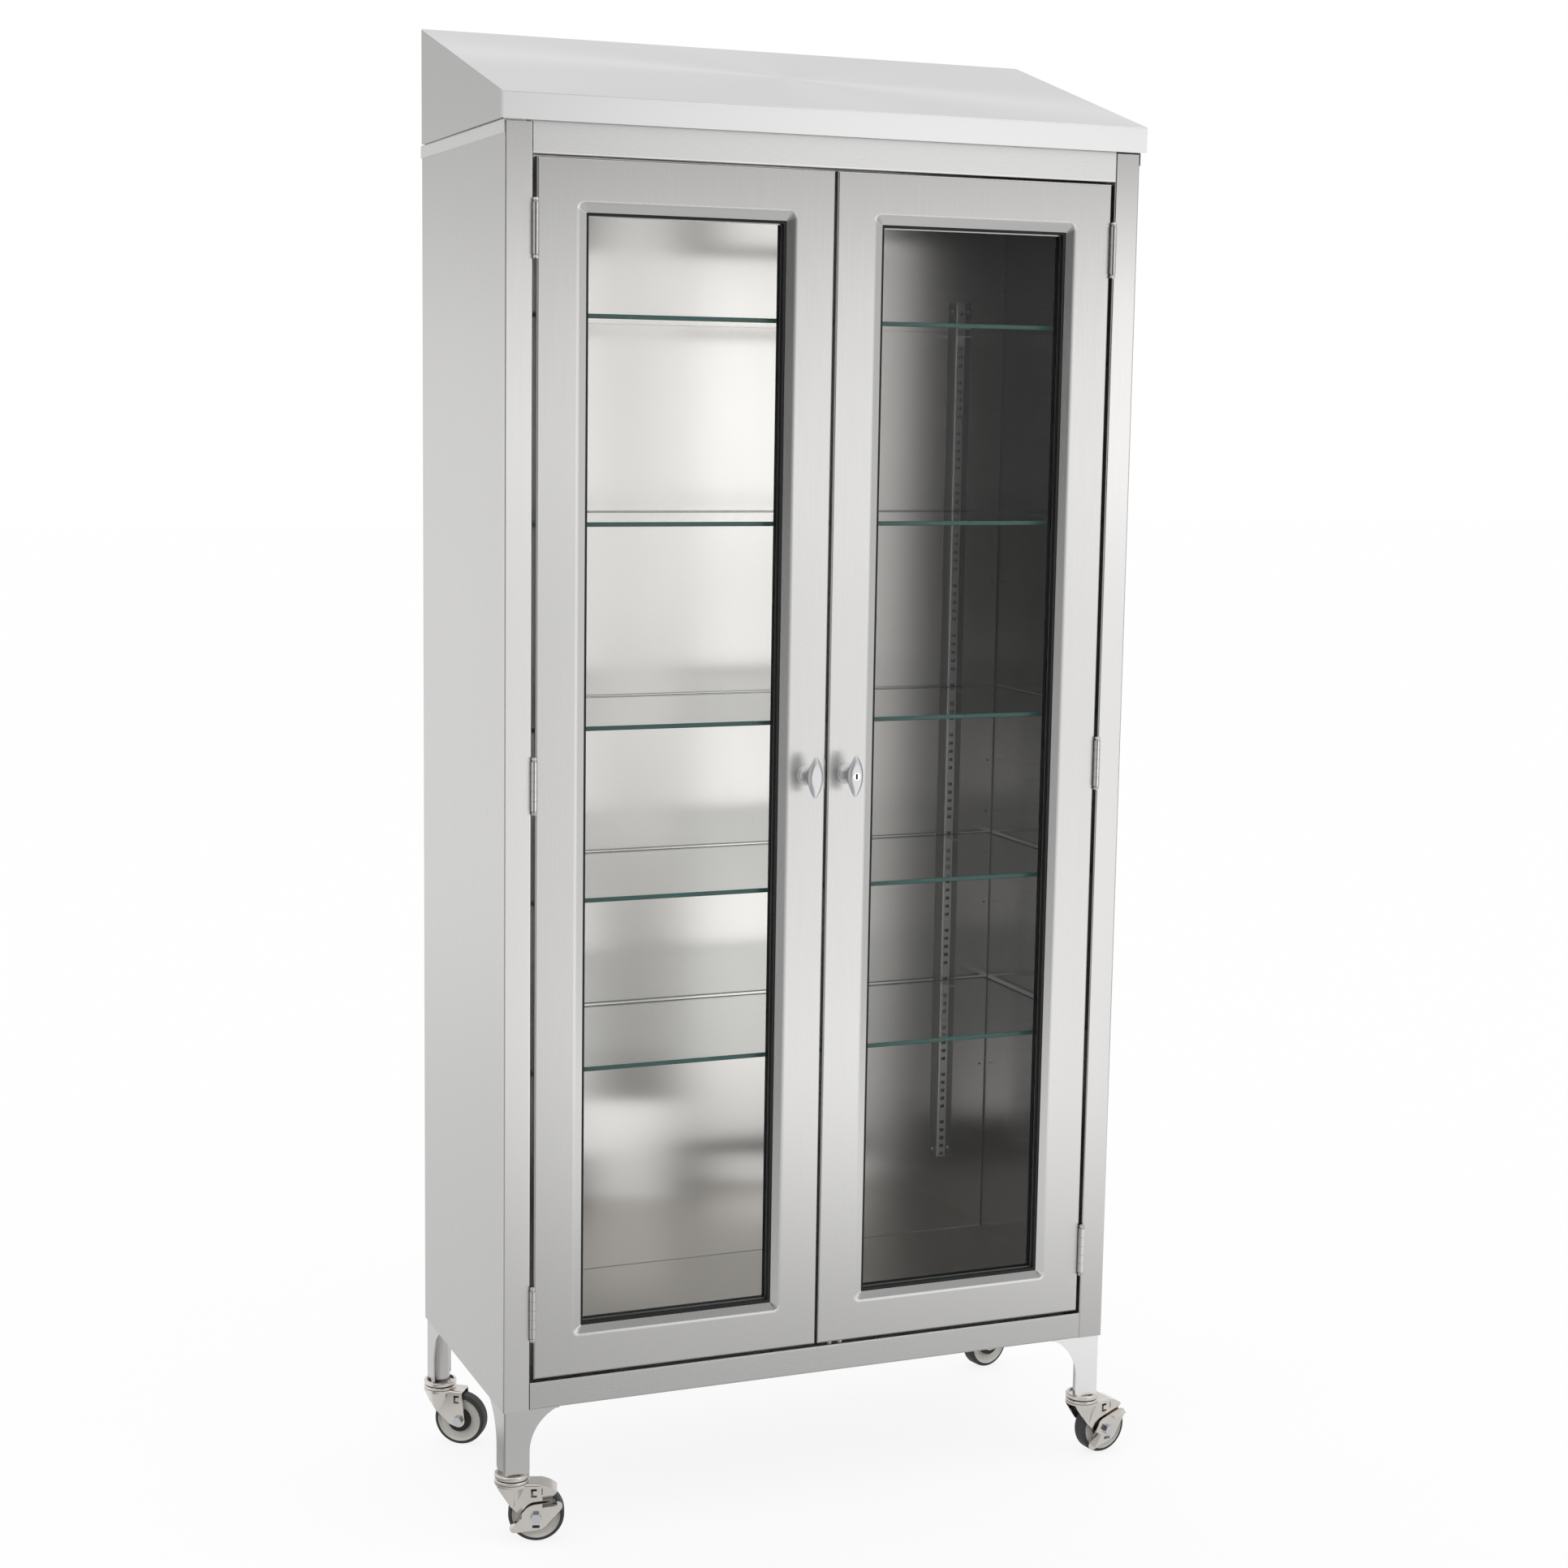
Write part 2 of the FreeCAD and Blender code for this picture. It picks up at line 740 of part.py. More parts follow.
def right_knob():
    """Turning knob with its spindle through the door and a bore for the key plug."""
    length = latch_plane + latch_gauge - front + turning_gap
    start = V(knob_x, front - turning_gap, middle_height)
    spindle = Part.makeCylinder(spindle_radius, length, start, V(0, 1, 0))
    bore = Part.makeCylinder(plug_radius + running_clearance, plug_length - plug_proud + turning_gap,
                             V(knob_x, knob_face, middle_height), V(0, 1, 0))
    return fused([knob(1, turning_gap), spindle]).cut(bore)


def latch():
    """Arm on the spindle's end behind the doors; it points up while the doors are free."""
    half = latch_width / 2
    arm = box(knob_x - half, knob_x + half, latch_plane, latch_plane + latch_gauge,
              middle_height, middle_height + latch_length)
    eye = Part.makeCylinder(half, latch_gauge, V(knob_x, latch_plane, middle_height), V(0, 1, 0))
    hole = Part.makeCylinder(spindle_radius, latch_gauge, V(knob_x, latch_plane, middle_height), V(0, 1, 0))
    return fused([arm, eye]).cut(hole)


def key_plug():
    """Lock plug in the right knob, with a slot for the key."""
    start = knob_face - plug_proud
    plug = Part.makeCylinder(plug_radius, plug_length, V(knob_x, start, middle_height), V(0, 1, 0))
    half_slot = keyway_width / 2
    half_tall = keyway_height / 2
    keyway = box(knob_x - half_slot, knob_x + half_slot, start - overrun, start + keyway_depth,
                 middle_height - half_tall, middle_height + half_tall)
    return plug.cut(keyway)


# Casters, built about their own stem with the wheel trailing along +X and the bolt head towards -Y

def at_corner(shape, name):
    """Turn a caster piece to its heading and carry it under its leg."""
    side_x, side_y, heading, lever_angle = casters[name]
    shape.rotate(V(), V(0, 0, 1), heading)
    shape.translate(V(side_x * stem_x, side_y * stem_y, 0))
    return shape


def raceway(bottom, height):
    """Round pressed raceway with rolled edges."""
    ring = Part.makeCylinder(raceway_radius, height, V(0, 0, bottom))
    rims = [edge for edge in ring.Edges if abs(edge.Length - 2 * raceway_radius * radians(180)) < tiny]
    return ring.makeFillet(raceway_round, rims)


def caster_stem():
    """Upper raceway, grooved round its middle, with the stem above it and the riveted king pin below."""
    plate_bottom = crown_top + raceway_height + raceway_gap
    pin_bottom = crown_top - fork_gauge - turning_gap
    plate = raceway(plate_bottom, caster_height - plate_bottom)
    groove_floor = V(0, 0, caster_height - raceway_groove)
    groove = Part.makeCylinder(raceway_radius - raceway_rim, raceway_groove, groove_floor)
    plate = plate.cut(groove.cut(Part.makeCylinder(socket_radius, raceway_groove, groove_floor)))
    stem = Part.makeCylinder(stem_radius, stem_length, V(0, 0, caster_height))
    pin = Part.makeCylinder(king_pin_radius, plate_bottom - pin_bottom, V(0, 0, pin_bottom))
    rivet = Part.makeCylinder(king_pin_head_radius, king_pin_head, V(0, 0, pin_bottom - king_pin_head))
    return fused([plate, stem, pin, rivet])


def drawn_cup(inset):
    """Cup drawn into the fork's top: upright at the rim, then curving in to the legs.

    The inset moves the whole surface inwards, for the cup's inside.
    """
    wide = raceway_radius - inset
    narrow = fork_half - inset
    top = crown_top - inset
    shoulder = crown_top - cup_skirt - inset
    foot = shoulder - cup_fall
    waist = V(narrow + (wide - narrow) * cup_waist_share, 0, (shoulder + foot) / 2)
    outline = [
        line(V(0, 0, top), V(wide, 0, top)),
        line(V(wide, 0, top), V(wide, 0, shoulder)),
        Part.Arc(V(wide, 0, shoulder), waist, V(narrow, 0, foot)).toShape(),
        line(V(narrow, 0, foot), V(0, 0, foot)),
        line(V(0, 0, foot), V(0, 0, top)),
    ]
    return Part.Face(Part.Wire(outline)).revolve(V(), V(0, 0, 1), 360)


def fork_outline():
    """Side view of the fork: flat deck, straight rear edge, round toe and a front edge up to the cup."""
    nose = caster_trail + fork_nose
    toe = [V(caster_trail + fork_toe_radius * cos(radians(turn)), 0,
             wheel_radius + fork_toe_radius * sin(radians(turn))) for turn in (0, -50, -100)]
    corners = [
        toe[2],
        V(caster_trail - fork_heel_reach, 0, wheel_radius - fork_heel_drop),
        V(caster_trail - fork_knee_reach, 0, wheel_radius + fork_knee_rise),
        V(-fork_chin, 0, crown_top - fork_chin_drop),
        V(-raceway_radius, 0, crown_top - cup_skirt),
        V(-raceway_radius, 0, crown_top),
        V(nose, 0, crown_top),
        toe[0],
    ]
    edges = [line(a, b) for a, b in zip(corners, corners[1:])]
    return Part.Face(Part.Wire([Part.Arc(*toe).toShape()] + edges))


def outline_block(half):
    """The fork's side view drawn out to both sides."""
    block = fork_outline().extrude(V(0, 2 * half, 0))
    block.translate(V(0, -half, 0))
    return block


def fork_legs():
    """Deck and legs behind the cup, as a block with rounded shoulders."""
    block = outline_block(fork_half)
    on_deck = [edge for edge in block.Edges if abs(edge.BoundBox.ZMin - crown_top) < tiny]
    shoulders = [edge for edge in on_deck if edge.BoundBox.XLength > tiny]
    block = block.makeFillet(fork_round, shoulders)
    return block.cut(box(-raceway_radius - overrun, -fork_tail, -fork_half, fork_half, 0, crown_top))


def wheel_guard():
    """Curved roof over the tyre behind a braked fork's deck, with a slit where it leaves the deck."""
    low, high = guard_angles
    inner = wheel_radius + guard_gap
    roof = Part.makeCylinder(inner + fork_gauge, 2 * fork_half, V(), V(0, 0, 1), high - low)
    roof = roof.cut(Part.makeCylinder(inner, fork_inside, V(0, 0, fork_gauge)))
    roof.rotate(V(), V(1, 0, 0), 90)
    roof.rotate(V(), V(0, 1, 0), -low)
    roof.translate(V(caster_trail, fork_half, wheel_radius))
    slit_left = caster_trail + fork_nose + fork_gauge
    slit_top = wheel_radius + inner - fork_gauge
    slit = box(slit_left, slit_left + guard_slit, -fork_half - overrun, -fork_inside / 2,
               slit_top - guard_slit_length, slit_top)
    return roof.cut(slit)


def bracket_slot():
    """Bracket-shaped slot round a tab in the fork's outer leg."""
    left = caster_trail - bracket_lead
    right = left + bracket_width
    top = crown_top - bracket_drop
    bottom = top - bracket_height
    outside = -fork_half - overrun
    inside = -fork_inside / 2
    opening = box(left, right, outside, inside, bottom, top)
    tab = box(left + bracket_bar, right, outside, inside, bottom + bracket_bar, top - bracket_bar)
    return opening.cut(tab)


def fork(braked):
    """Fork pressed from one sheet: deck, drawn cup and two legs.

    A braked caster's fork runs on behind the deck as a guard over the tyre.
    """
    nose = caster_trail + fork_nose
    half_inside = fork_inside / 2
    cup = drawn_cup(0).common(outline_block(raceway_radius))
    shell = fused([fork_legs(), cup, raceway(crown_top, raceway_height)])
    inside = box(-raceway_radius - overrun, nose + overrun, -half_inside, half_inside,
                 0, crown_top - fork_gauge)
    shell = shell.cut(inside).cut(drawn_cup(fork_gauge))
    if braked:
        shell = fused([shell, wheel_guard()])
    axle_start = V(caster_trail, -fork_half, wheel_radius)
    axle_hole = Part.makeCylinder(axle_radius, 2 * fork_half, axle_start, V(0, 1, 0))
    pin_hole = Part.makeCylinder(king_pin_radius + running_clearance, fork_gauge + raceway_height,
                                 V(0, 0, crown_top - fork_gauge))
    return shell.cut([axle_hole, pin_hole, bracket_slot()])


def hexagon(y, height):
    """Six-sided head or nut on the axle, from y along +Y."""
    across = bolt_flats / sqrt(3)
    turns = [radians(60 * side) for side in range(6)]
    corners = [V(caster_trail + across * cos(turn), y, wheel_radius + across * sin(turn)) for turn in turns]
    return Part.Face(Part.makePolygon(corners + corners[:1])).extrude(V(0, height, 0))


def axle(braked):
    """Axle bolt and nut; a braked caster's bolt is longer and carries a collar behind the lever."""
    head_face = lever_face - turning_gap if braked else -fork_half
    start = V(caster_trail, head_face, wheel_radius)
    shank = Part.makeCylinder(axle_radius, fork_half - head_face, start, V(0, 1, 0))
    pieces = [hexagon(head_face - bolt_head, bolt_head), shank, hexagon(fork_half, bolt_head)]
    if braked:
        collar_width = lever_standoff - turning_gap
        collar_start = V(caster_trail, -fork_half - collar_width, wheel_radius)
        pieces.append(Part.makeCylinder(lever_collar_radius, collar_width, collar_start, V(0, 1, 0)))
    return fused(pieces)


def hub():
    """Moulded wheel disc with a long boss that turns on the axle."""
    rim = wheel_radius - tyre_depth
    half_boss = fork_inside / 2 - fork_end_play
    half_web = hub_web_width / 2
    half_rim = tyre_width / 2
    bore = axle_radius + running_clearance
    rim_inside = rim - (half_rim - half_web)
    # radius and half width of the hub's steps, from the bore out
    steps = [
        (bore, half_boss),
        (hub_boss_radius, half_boss),
        (hub_boss_radius, half_web),
        (rim_inside, half_web),
        (rim, half_rim),
    ]
    near = [V(caster_trail, half, wheel_radius + radius) for radius, half in steps]
    far = [V(point.x, -point.y, point.z) for point in reversed(near)]
    return turned(near + far, V(caster_trail, 0, wheel_radius), V(0, 1, 0))


def tyre():
    """Rubber tyre moulded onto the hub's rim."""
    half = tyre_width / 2
    rim = wheel_radius - tyre_depth
    start = V(caster_trail, -half, wheel_radius)
    ring = Part.makeCylinder(wheel_radius, tyre_width, start, V(0, 1, 0))
    girth = 2 * wheel_radius * radians(180)
    shoulders = [edge for edge in ring.Edges if abs(edge.Length - girth) < tiny]
    ring = ring.makeFillet(tyre_round, shoulders)
    return ring.cut(Part.makeCylinder(rim, tyre_width, start, V(0, 1, 0)))


def lever_arm(turn, fold):
    """One tapering arm of the brake lever, with a foot tab folded out along its upper (1) or lower (-1) edge."""
    tip = lever_arm_width / 2
    taper = asin((lever_boss_radius - tip) / lever_arm_length)
    flank = [V(lever_boss_radius * sin(taper), lever_face, lever_boss_radius * cos(taper)),
             V(lever_arm_length + tip * sin(taper), lever_face, tip * cos(taper))]
    outline = flank + [V(point.x, point.y, -point.z) for point in reversed(flank)]
    arm = Part.Face(Part.makePolygon(outline + outline[:1])).extrude(V(0, lever_gauge, 0))
    end = Part.makeCylinder(tip, lever_gauge, V(lever_arm_length, lever_face, 0), V(0, 1, 0))
    middle = lever_face + lever_gauge / 2
    crease = fold * (tip - lever_gauge / 2)
    path = [(middle, 0), (middle, crease), (lever_face - lever_tab_depth, crease)]
    tab = folded_sheet(path, -lever_tab_length, 0, "x", lever_gauge, lever_gauge)
    tab.rotate(V(), V(0, 1, 0), fold * degrees(taper))
    tab.translate(V(lever_arm_length, 0, 0))
    shape = fused([arm, end, tab])
    shape.rotate(V(), V(0, 1, 0), -turn)
    return shape


def brake_lever(lever_angle):
    """Stamped lever that rocks on the axle bolt, with a foot tab at each end and a slot below the bolt."""
    boss = Part.makeCylinder(lever_boss_radius, lever_gauge, V(0, lever_face, 0), V(0, 1, 0))
    lever = fused([boss, lever_arm(lever_angle, 1), lever_arm(lever_angle + 180, -1)])
    bore = Part.makeCylinder(axle_radius + running_clearance, lever_gauge, V(0, lever_face, 0), V(0, 1, 0))
    half_slot = lever_slot_width / 2
    slot = box(-half_slot, half_slot, lever_face, lever_face + lever_gauge,
               -lever_slot_drop - lever_slot_height, -lever_slot_drop)
    lever = lever.cut([bore, slot])
    lever.translate(V(caster_trail, 0, wheel_radius))
    return lever


# Every node by name; a list is a group of identical separate pieces

def carcass():
    left_side = side_panel()
    hood = hood_sheet()
    left_end = hood_end(hood)
    return {
        "side_left": left_side,
        "side_right": mirrored(left_side),
        "back_panel": back_panel(),
        "base_pan": base_pan(),
        "floor_panel": floor_panel(),
        "top_cap": top_cap(),
        "top_rail": top_rail(),
        "hood_sheet": hood,
        "hood_end_left": left_end,
        "hood_end_right": mirrored(left_end),
    }


def underframe():
    corners = {name: caster[:2] for name, caster in casters.items()}
    nodes = {"leg_" + name: leg(*sides) for name, sides in corners.items()}
    nodes["leg_sockets"] = [leg_socket(*sides) for sides in corners.values()]
    nodes["caster_stems"] = [at_corner(caster_stem(), name) for name in casters]
    return nodes


def shelving():
    nodes = {
        "shelf_standards": on_each_wall(standard()),
        "standard_screws": [copy for head in standard_screws() for copy in on_each_wall(head)],
        "shelf_clips": [copy for slot in shelf_slots for copy in on_each_wall(clip(slot))],
    }
    for number, slot in enumerate(shelf_slots, 1):
        nodes["shelf_" + str(number)] = shelf(slot_level(slot) + clip_lift)
    return nodes


def doors():
    nodes = {}
    for name, side in (("left", -1), ("right", 1)):
        nodes[name + "_door_skin"] = door_skin(side)
        nodes[name + "_door_liner"] = door_liner(side)
        nodes[name + "_gasket"] = gasket(side)
        nodes[name + "_glass"] = pane(side)
    nodes["left_strike"] = strike()
    nodes["left_knob"] = knob(-1, 0)
    nodes["right_knob"] = right_knob()
    nodes["latch_arm"] = latch()
    nodes["key_plug"] = key_plug()
    return nodes


def hinges():
    pins = [hinge_pin(height) for height in hinge_heights]
    frame_leaves = [frame_leaf(height) for height in hinge_heights]
    door_leaves = [door_leaf(height) for height in hinge_heights]
    return {
        "hinge_pins": pins + [mirrored(pin) for pin in pins],
        "hinge_frame_leaves": frame_leaves + [mirrored(leaf) for leaf in frame_leaves],
        "left_hinge_leaves": door_leaves,
        "right_hinge_leaves": [mirrored(leaf) for leaf in door_leaves],
    }


def ledge_studs():
    """Two round studs on the ledge under the right door's meeting edge."""
    feet = [V(x, front + stud_setback, ledge_top) for x in stud_positions]
    return [Part.makeCylinder(stud_radius, stud_height, foot) for foot in feet]


def running_gear():
    nodes = {}
    for name, (side_x, side_y, heading, lever_angle) in casters.items():
        braked = lever_angle is not None
        nodes[name + "_fork"] = at_corner(fork(braked), name)
        nodes[name + "_axle"] = at_corner(axle(braked), name)
        nodes[name + "_hub"] = at_corner(hub(), name)
        nodes[name + "_tyre"] = at_corner(tyre(), name)
        if braked:
            nodes[name + "_brake"] = at_corner(brake_lever(lever_angle), name)
    return nodes


nodes = {**carcass(), **underframe(), **shelving(), **doors(), **hinges(), **running_gear()}
nodes["ledge_studs"] = ledge_studs()
shapes = {}
for name, piece in nodes.items():
    shapes[name] = Part.makeCompound(piece) if isinstance(piece, list) else piece

# The origin is on the floor in the middle of the whole footprint, knobs and trailing casters included.
footprint = Part.makeCompound(list(shapes.values())).optimalBoundingBox()
centring = V(-footprint.Center.x, -footprint.Center.y, -footprint.ZMin)
os.makedirs("parts", exist_ok=True)
for name, shape in shapes.items():
    shape.translate(centring)
    shape.exportStep("parts/" + name + ".step")
print("nodes", len(shapes), "moved by", centring)
print("size", footprint.XLength, footprint.YLength, footprint.ZLength)
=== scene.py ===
import json
import math

import bmesh
import bpy
from mathutils import Matrix, Vector


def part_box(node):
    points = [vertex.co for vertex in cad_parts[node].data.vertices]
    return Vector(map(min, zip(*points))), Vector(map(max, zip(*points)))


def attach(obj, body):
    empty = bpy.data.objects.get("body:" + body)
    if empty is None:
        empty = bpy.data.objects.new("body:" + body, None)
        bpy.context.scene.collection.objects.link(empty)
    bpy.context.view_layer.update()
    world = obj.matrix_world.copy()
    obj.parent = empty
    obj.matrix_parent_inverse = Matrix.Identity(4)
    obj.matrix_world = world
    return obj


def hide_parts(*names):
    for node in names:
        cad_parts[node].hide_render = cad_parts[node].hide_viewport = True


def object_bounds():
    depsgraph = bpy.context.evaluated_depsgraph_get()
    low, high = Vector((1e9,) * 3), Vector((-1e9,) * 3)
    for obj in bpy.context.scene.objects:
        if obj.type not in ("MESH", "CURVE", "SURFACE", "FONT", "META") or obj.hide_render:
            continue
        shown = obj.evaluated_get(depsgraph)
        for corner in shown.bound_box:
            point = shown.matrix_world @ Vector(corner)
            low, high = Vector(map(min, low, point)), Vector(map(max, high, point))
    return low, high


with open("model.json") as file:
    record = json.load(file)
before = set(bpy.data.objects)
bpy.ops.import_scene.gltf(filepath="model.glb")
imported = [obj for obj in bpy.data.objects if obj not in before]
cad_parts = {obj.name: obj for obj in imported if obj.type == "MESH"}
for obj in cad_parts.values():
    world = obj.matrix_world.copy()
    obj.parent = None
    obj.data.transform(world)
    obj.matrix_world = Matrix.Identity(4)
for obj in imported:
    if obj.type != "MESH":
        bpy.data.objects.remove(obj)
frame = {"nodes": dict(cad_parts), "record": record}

cad_low, cad_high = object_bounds()

# Camera
# It stands to the left of the doors, a little above their middle, and looks slightly down at the front. Its
# place is measured from the middle of the carcass at the underside of the box.

left_side_low, left_side_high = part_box("side_left")
right_side_low, right_side_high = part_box("side_right")
box_middle_x = (left_side_low.x + right_side_high.x) / 2
box_middle_y = (left_side_low.y + left_side_high.y) / 2
box_foot = Vector((box_middle_x, box_middle_y, left_side_low.z))

photo_pixels = 1932
focal_pixels = 3239.7
axis_pixel_u = 910.3
axis_pixel_v = 945.0
camera_from_box = Vector((-1.4234, -3.4606, 1.3423))
camera_yaw = 0.37834
camera_pitch = 0.13519
camera_roll = 0.01353
film_width = 36.0

look = Vector((
    math.sin(camera_yaw) * math.cos(camera_pitch),
    math.cos(camera_yaw) * math.cos(camera_pitch),
    -math.sin(camera_pitch),
))
level_right = Vector((math.cos(camera_yaw), -math.sin(camera_yaw), 0))
level_up = level_right.cross(look)
right = math.cos(camera_roll) * level_right + math.sin(camera_roll) * level_up
up = math.cos(camera_roll) * level_up - math.sin(camera_roll) * level_right

camera = bpy.data.objects.new("camera", bpy.data.cameras.new("camera"))
camera.data.sensor_width = film_width
camera.data.lens = focal_pixels / photo_pixels * film_width
camera.data.shift_x = 0.5 - axis_pixel_u / photo_pixels
camera.data.shift_y = axis_pixel_v / photo_pixels - 0.5
camera_turn = Matrix((right, up, -look)).transposed().to_4x4()
camera.matrix_world = Matrix.Translation(box_foot + camera_from_box) @ camera_turn
bpy.context.scene.collection.objects.link(camera)
bpy.context.scene.camera = camera
bpy.context.scene.view_settings.view_transform = "Standard"


# Studio
# A white sweep stands behind the cabinet and a broad soft light to the front right; the front left, where
# the camera stands, is dark. The floor is pale and matt and keeps a faint shadow under the casters.

class Wire:
    """A socket in a node tree. Sums, differences, products and shares of wires add Math nodes."""

    def __init__(self, tree, socket=None):
        self.tree = tree
        self.socket = socket

    def feed(self, node, inputs):
        """Set each named or numbered input of a node to a value, or link a wire to it."""
        for key, value in inputs.items():
            if isinstance(value, Wire):
                self.tree.links.new(value.socket, node.inputs[key])
            else:
                node.inputs[key].default_value = value

    def node(self, kind, inputs=None, out=0, **settings):
        """Add a node with its settings, then its inputs; the wire of one output comes back."""
        made = self.tree.nodes.new(kind if "Node" in kind else "ShaderNode" + kind)
        for name, value in settings.items():
            setattr(made, name, value)
        self.feed(made, inputs or {})
        return Wire(self.tree, made.outputs[out])

    def math(self, operation, *values):
        return self.node("Math", dict(enumerate(values)), operation=operation)

    def ramp(self, start, end, low=0.0, high=1.0):
        """Smooth change from low to high as this value goes from start to end."""
        limits = {"Value": self, "From Min": start, "From Max": end, "To Min": low, "To Max": high}
        return self.node("MapRange", limits, interpolation_type="SMOOTHSTEP")

    def mix(self, low, high):
        """Colour between two colours, by this value."""
        return self.node("Mix", {0: self, 6: low, 7: high}, out=2, data_type="RGBA")

    def __add__(self, other):
        return self.math("ADD", self, other)

    def __sub__(self, other):
        return self.math("SUBTRACT", self, other)

    def __rsub__(self, other):
        return self.math("SUBTRACT", other, self)

    def __mul__(self, other):
        return self.math("MULTIPLY", self, other)

    def __truediv__(self, other):
        return self.math("DIVIDE", self, other)

    __radd__ = __add__
    __rmul__ = __mul__


# Brightness of the areas that the steel mirrors
room_level = 0.9
dark_corner = 0.02
soft_light = 1.54
soft_light_level = 2.12
soft_light_above = 0.64
side_light = 0.6
left_light = 0.75
left_light_above = 0.5
sweep = 1.06
sweep_above = 0.7
sweep_high = 0.1

# Where each area begins and is full, as the share of a direction that points right, back or up
soft_light_start = (-0.02, 0.42)
soft_light_fall = (0.04, 0.1)
side_light_start = (0.44, 0.85)
side_light_fall = (0.5, 0.2)
left_light_start = (-0.55, -0.85)
left_light_fall = (0.0, 0.12)
ceiling_start = (0.3, 0.7)
sweep_fall = (0.0, 0.12)
sweep_high_start = (0.2, 0.45)
back_start = (-0.1, 0.3)

bpy.context.scene.world = bpy.data.worlds.new("studio")
bpy.context.scene.world.use_nodes = True
studio = Wire(bpy.context.scene.world.node_tree)
bearing = studio.node("TexCoord", out="Generated")
to_right = studio.node("SeparateXYZ", {0: bearing}, out="X")
to_back = studio.node("SeparateXYZ", {0: bearing}, out="Y")
to_top = studio.node("SeparateXYZ", {0: bearing}, out="Z")
front_light = to_top.ramp(*soft_light_fall, soft_light_level, soft_light_above)
front_light = dark_corner + to_right.ramp(*soft_light_start) * (front_light - dark_corner)
side_share = to_right.ramp(*side_light_start) * to_top.ramp(*side_light_fall)
front_light = front_light + side_share * (side_light - front_light)
left_wall = to_top.ramp(*left_light_fall, left_light, left_light_above)
front_light = front_light + to_right.ramp(*left_light_start) * (left_wall - front_light)
front_light = front_light + to_top.ramp(*ceiling_start) * (room_level - front_light)
back_light = to_top.ramp(*sweep_fall, sweep, sweep_above) + to_top.ramp(*sweep_high_start, 0.0, sweep_high)
mirrored = front_light + to_back.ramp(*back_start) * (back_light - front_light)
seen = studio.node("LightPath", out="Is Camera Ray")
glossy = studio.node("LightPath", out="Is Glossy Ray")
plain = room_level + glossy * (mirrored - room_level)
studio.feed(bpy.context.scene.world.node_tree.nodes["Background"], {
    "Color": plain + seen * (1 - plain),
    "Strength": 1.0,
})

floor_size = 60.0
floor_tone = 0.16
floor_glow = 0.85
floor_near = 0.67
floor_dark = 0.28
floor_back = 0.8

# Directions on the floor are taken from a place by the left side, and distances from near the middle
floor_corner = (-0.6, 0.2, 0)
floor_middle = (-0.15, 0, 0)
near_light_start = (-0.5, 0.4)
far_light_start = (0.02, 0.45)
far_light_distance = (0.5, 3.0)
floor_side_start = (0.62, 0.85)
floor_side_distance = (1.2, 3.6)
floor_back_distance = (0.3, 5.0)
floor_mesh = bpy.data.meshes.new("floor")
corner = floor_size / 2
floor_mesh.from_pydata([(-corner, -corner, cad_low.z), (corner, -corner, cad_low.z),
                        (corner, corner, cad_low.z), (-corner, corner, cad_low.z)], [], [(0, 1, 2, 3)])
floor = bpy.data.objects.new("floor", floor_mesh)
bpy.context.scene.collection.objects.link(floor)

floor_finish = bpy.data.materials.new("floor_white")
floor_finish.use_nodes = True
paint = Wire(floor_finish.node_tree)
shader = floor_finish.node_tree.nodes["Principled BSDF"]
ground = paint.node("TexCoord", out="Object")
from_corner = paint.node("VectorMath", {0: ground, 1: floor_corner}, operation="SUBTRACT")
distance = paint.node("VectorMath", {0: from_corner}, out="Value", operation="LENGTH")
to_right = paint.node("SeparateXYZ", {0: from_corner}, out="X") / distance
to_back = paint.node("SeparateXYZ", {0: from_corner}, out="Y") / distance
from_middle = paint.node("VectorMath", {0: ground, 1: floor_middle}, operation="SUBTRACT")
distance = paint.node("VectorMath", {0: from_middle}, out="Value", operation="LENGTH")
near_light = floor_dark + to_right.ramp(*near_light_start) * (floor_near - floor_dark)
far_light = floor_dark + to_right.ramp(*far_light_start) * (soft_light - floor_dark)
front_light = near_light + distance.ramp(*far_light_distance) * (far_light - near_light)
side_share = to_right.ramp(*floor_side_start) * distance.ramp(*floor_side_distance)
front_light = front_light + side_share * (side_light - front_light)
front_light = front_light + to_right.ramp(*left_light_start) * (left_light - front_light)
back_light = distance.ramp(*floor_back_distance, floor_back * sweep, sweep)
mirrored = front_light + to_back.ramp(*back_start) * (back_light - front_light)
seen = paint.node("LightPath", out="Is Camera Ray")
glossy = paint.node("LightPath", out="Is Glossy Ray")
# In the steel's reflections the floor glows with painted light that changes with direction and distance; to
# the camera it glows an even white over a faint shadow.
paint.feed(shader, {
    "Base Color": (floor_tone, floor_tone, floor_tone, 1),
    "Roughness": 1.0,
    "Specular IOR Level": 0.0,
    "Emission Color": seen * floor_glow + glossy * (mirrored - floor_tone * room_level),
    "Emission Strength": 1.0,
})
floor_mesh.materials.append(floor_finish)


def soft_lamp(name, place, aim, width, height, power):
    """Oblong area lamp that faces a point."""
    lamp = bpy.data.objects.new(name, bpy.data.lights.new(name, "AREA"))
    lamp.data.shape = "RECTANGLE"
    lamp.data.size = width
    lamp.data.size_y = height
    lamp.data.energy = power
    lamp.location = place
    lamp.rotation_euler = (Vector(aim) - Vector(place)).to_track_quat("-Z", "Y").to_euler()
    bpy.context.scene.collection.objects.link(lamp)
    return lamp


high_lamp_size = 1.8
high_lamp_aim = (0, 0, 1.0)
high_lamps = {"lamp_high_right": ((2.2, -2.4, 4.4), 6), "lamp_high_left": ((-3.0, -0.6, 4.0), 4)}
for name, (place, power) in high_lamps.items():
    soft_lamp(name, place, high_lamp_aim, high_lamp_size, high_lamp_size, power)

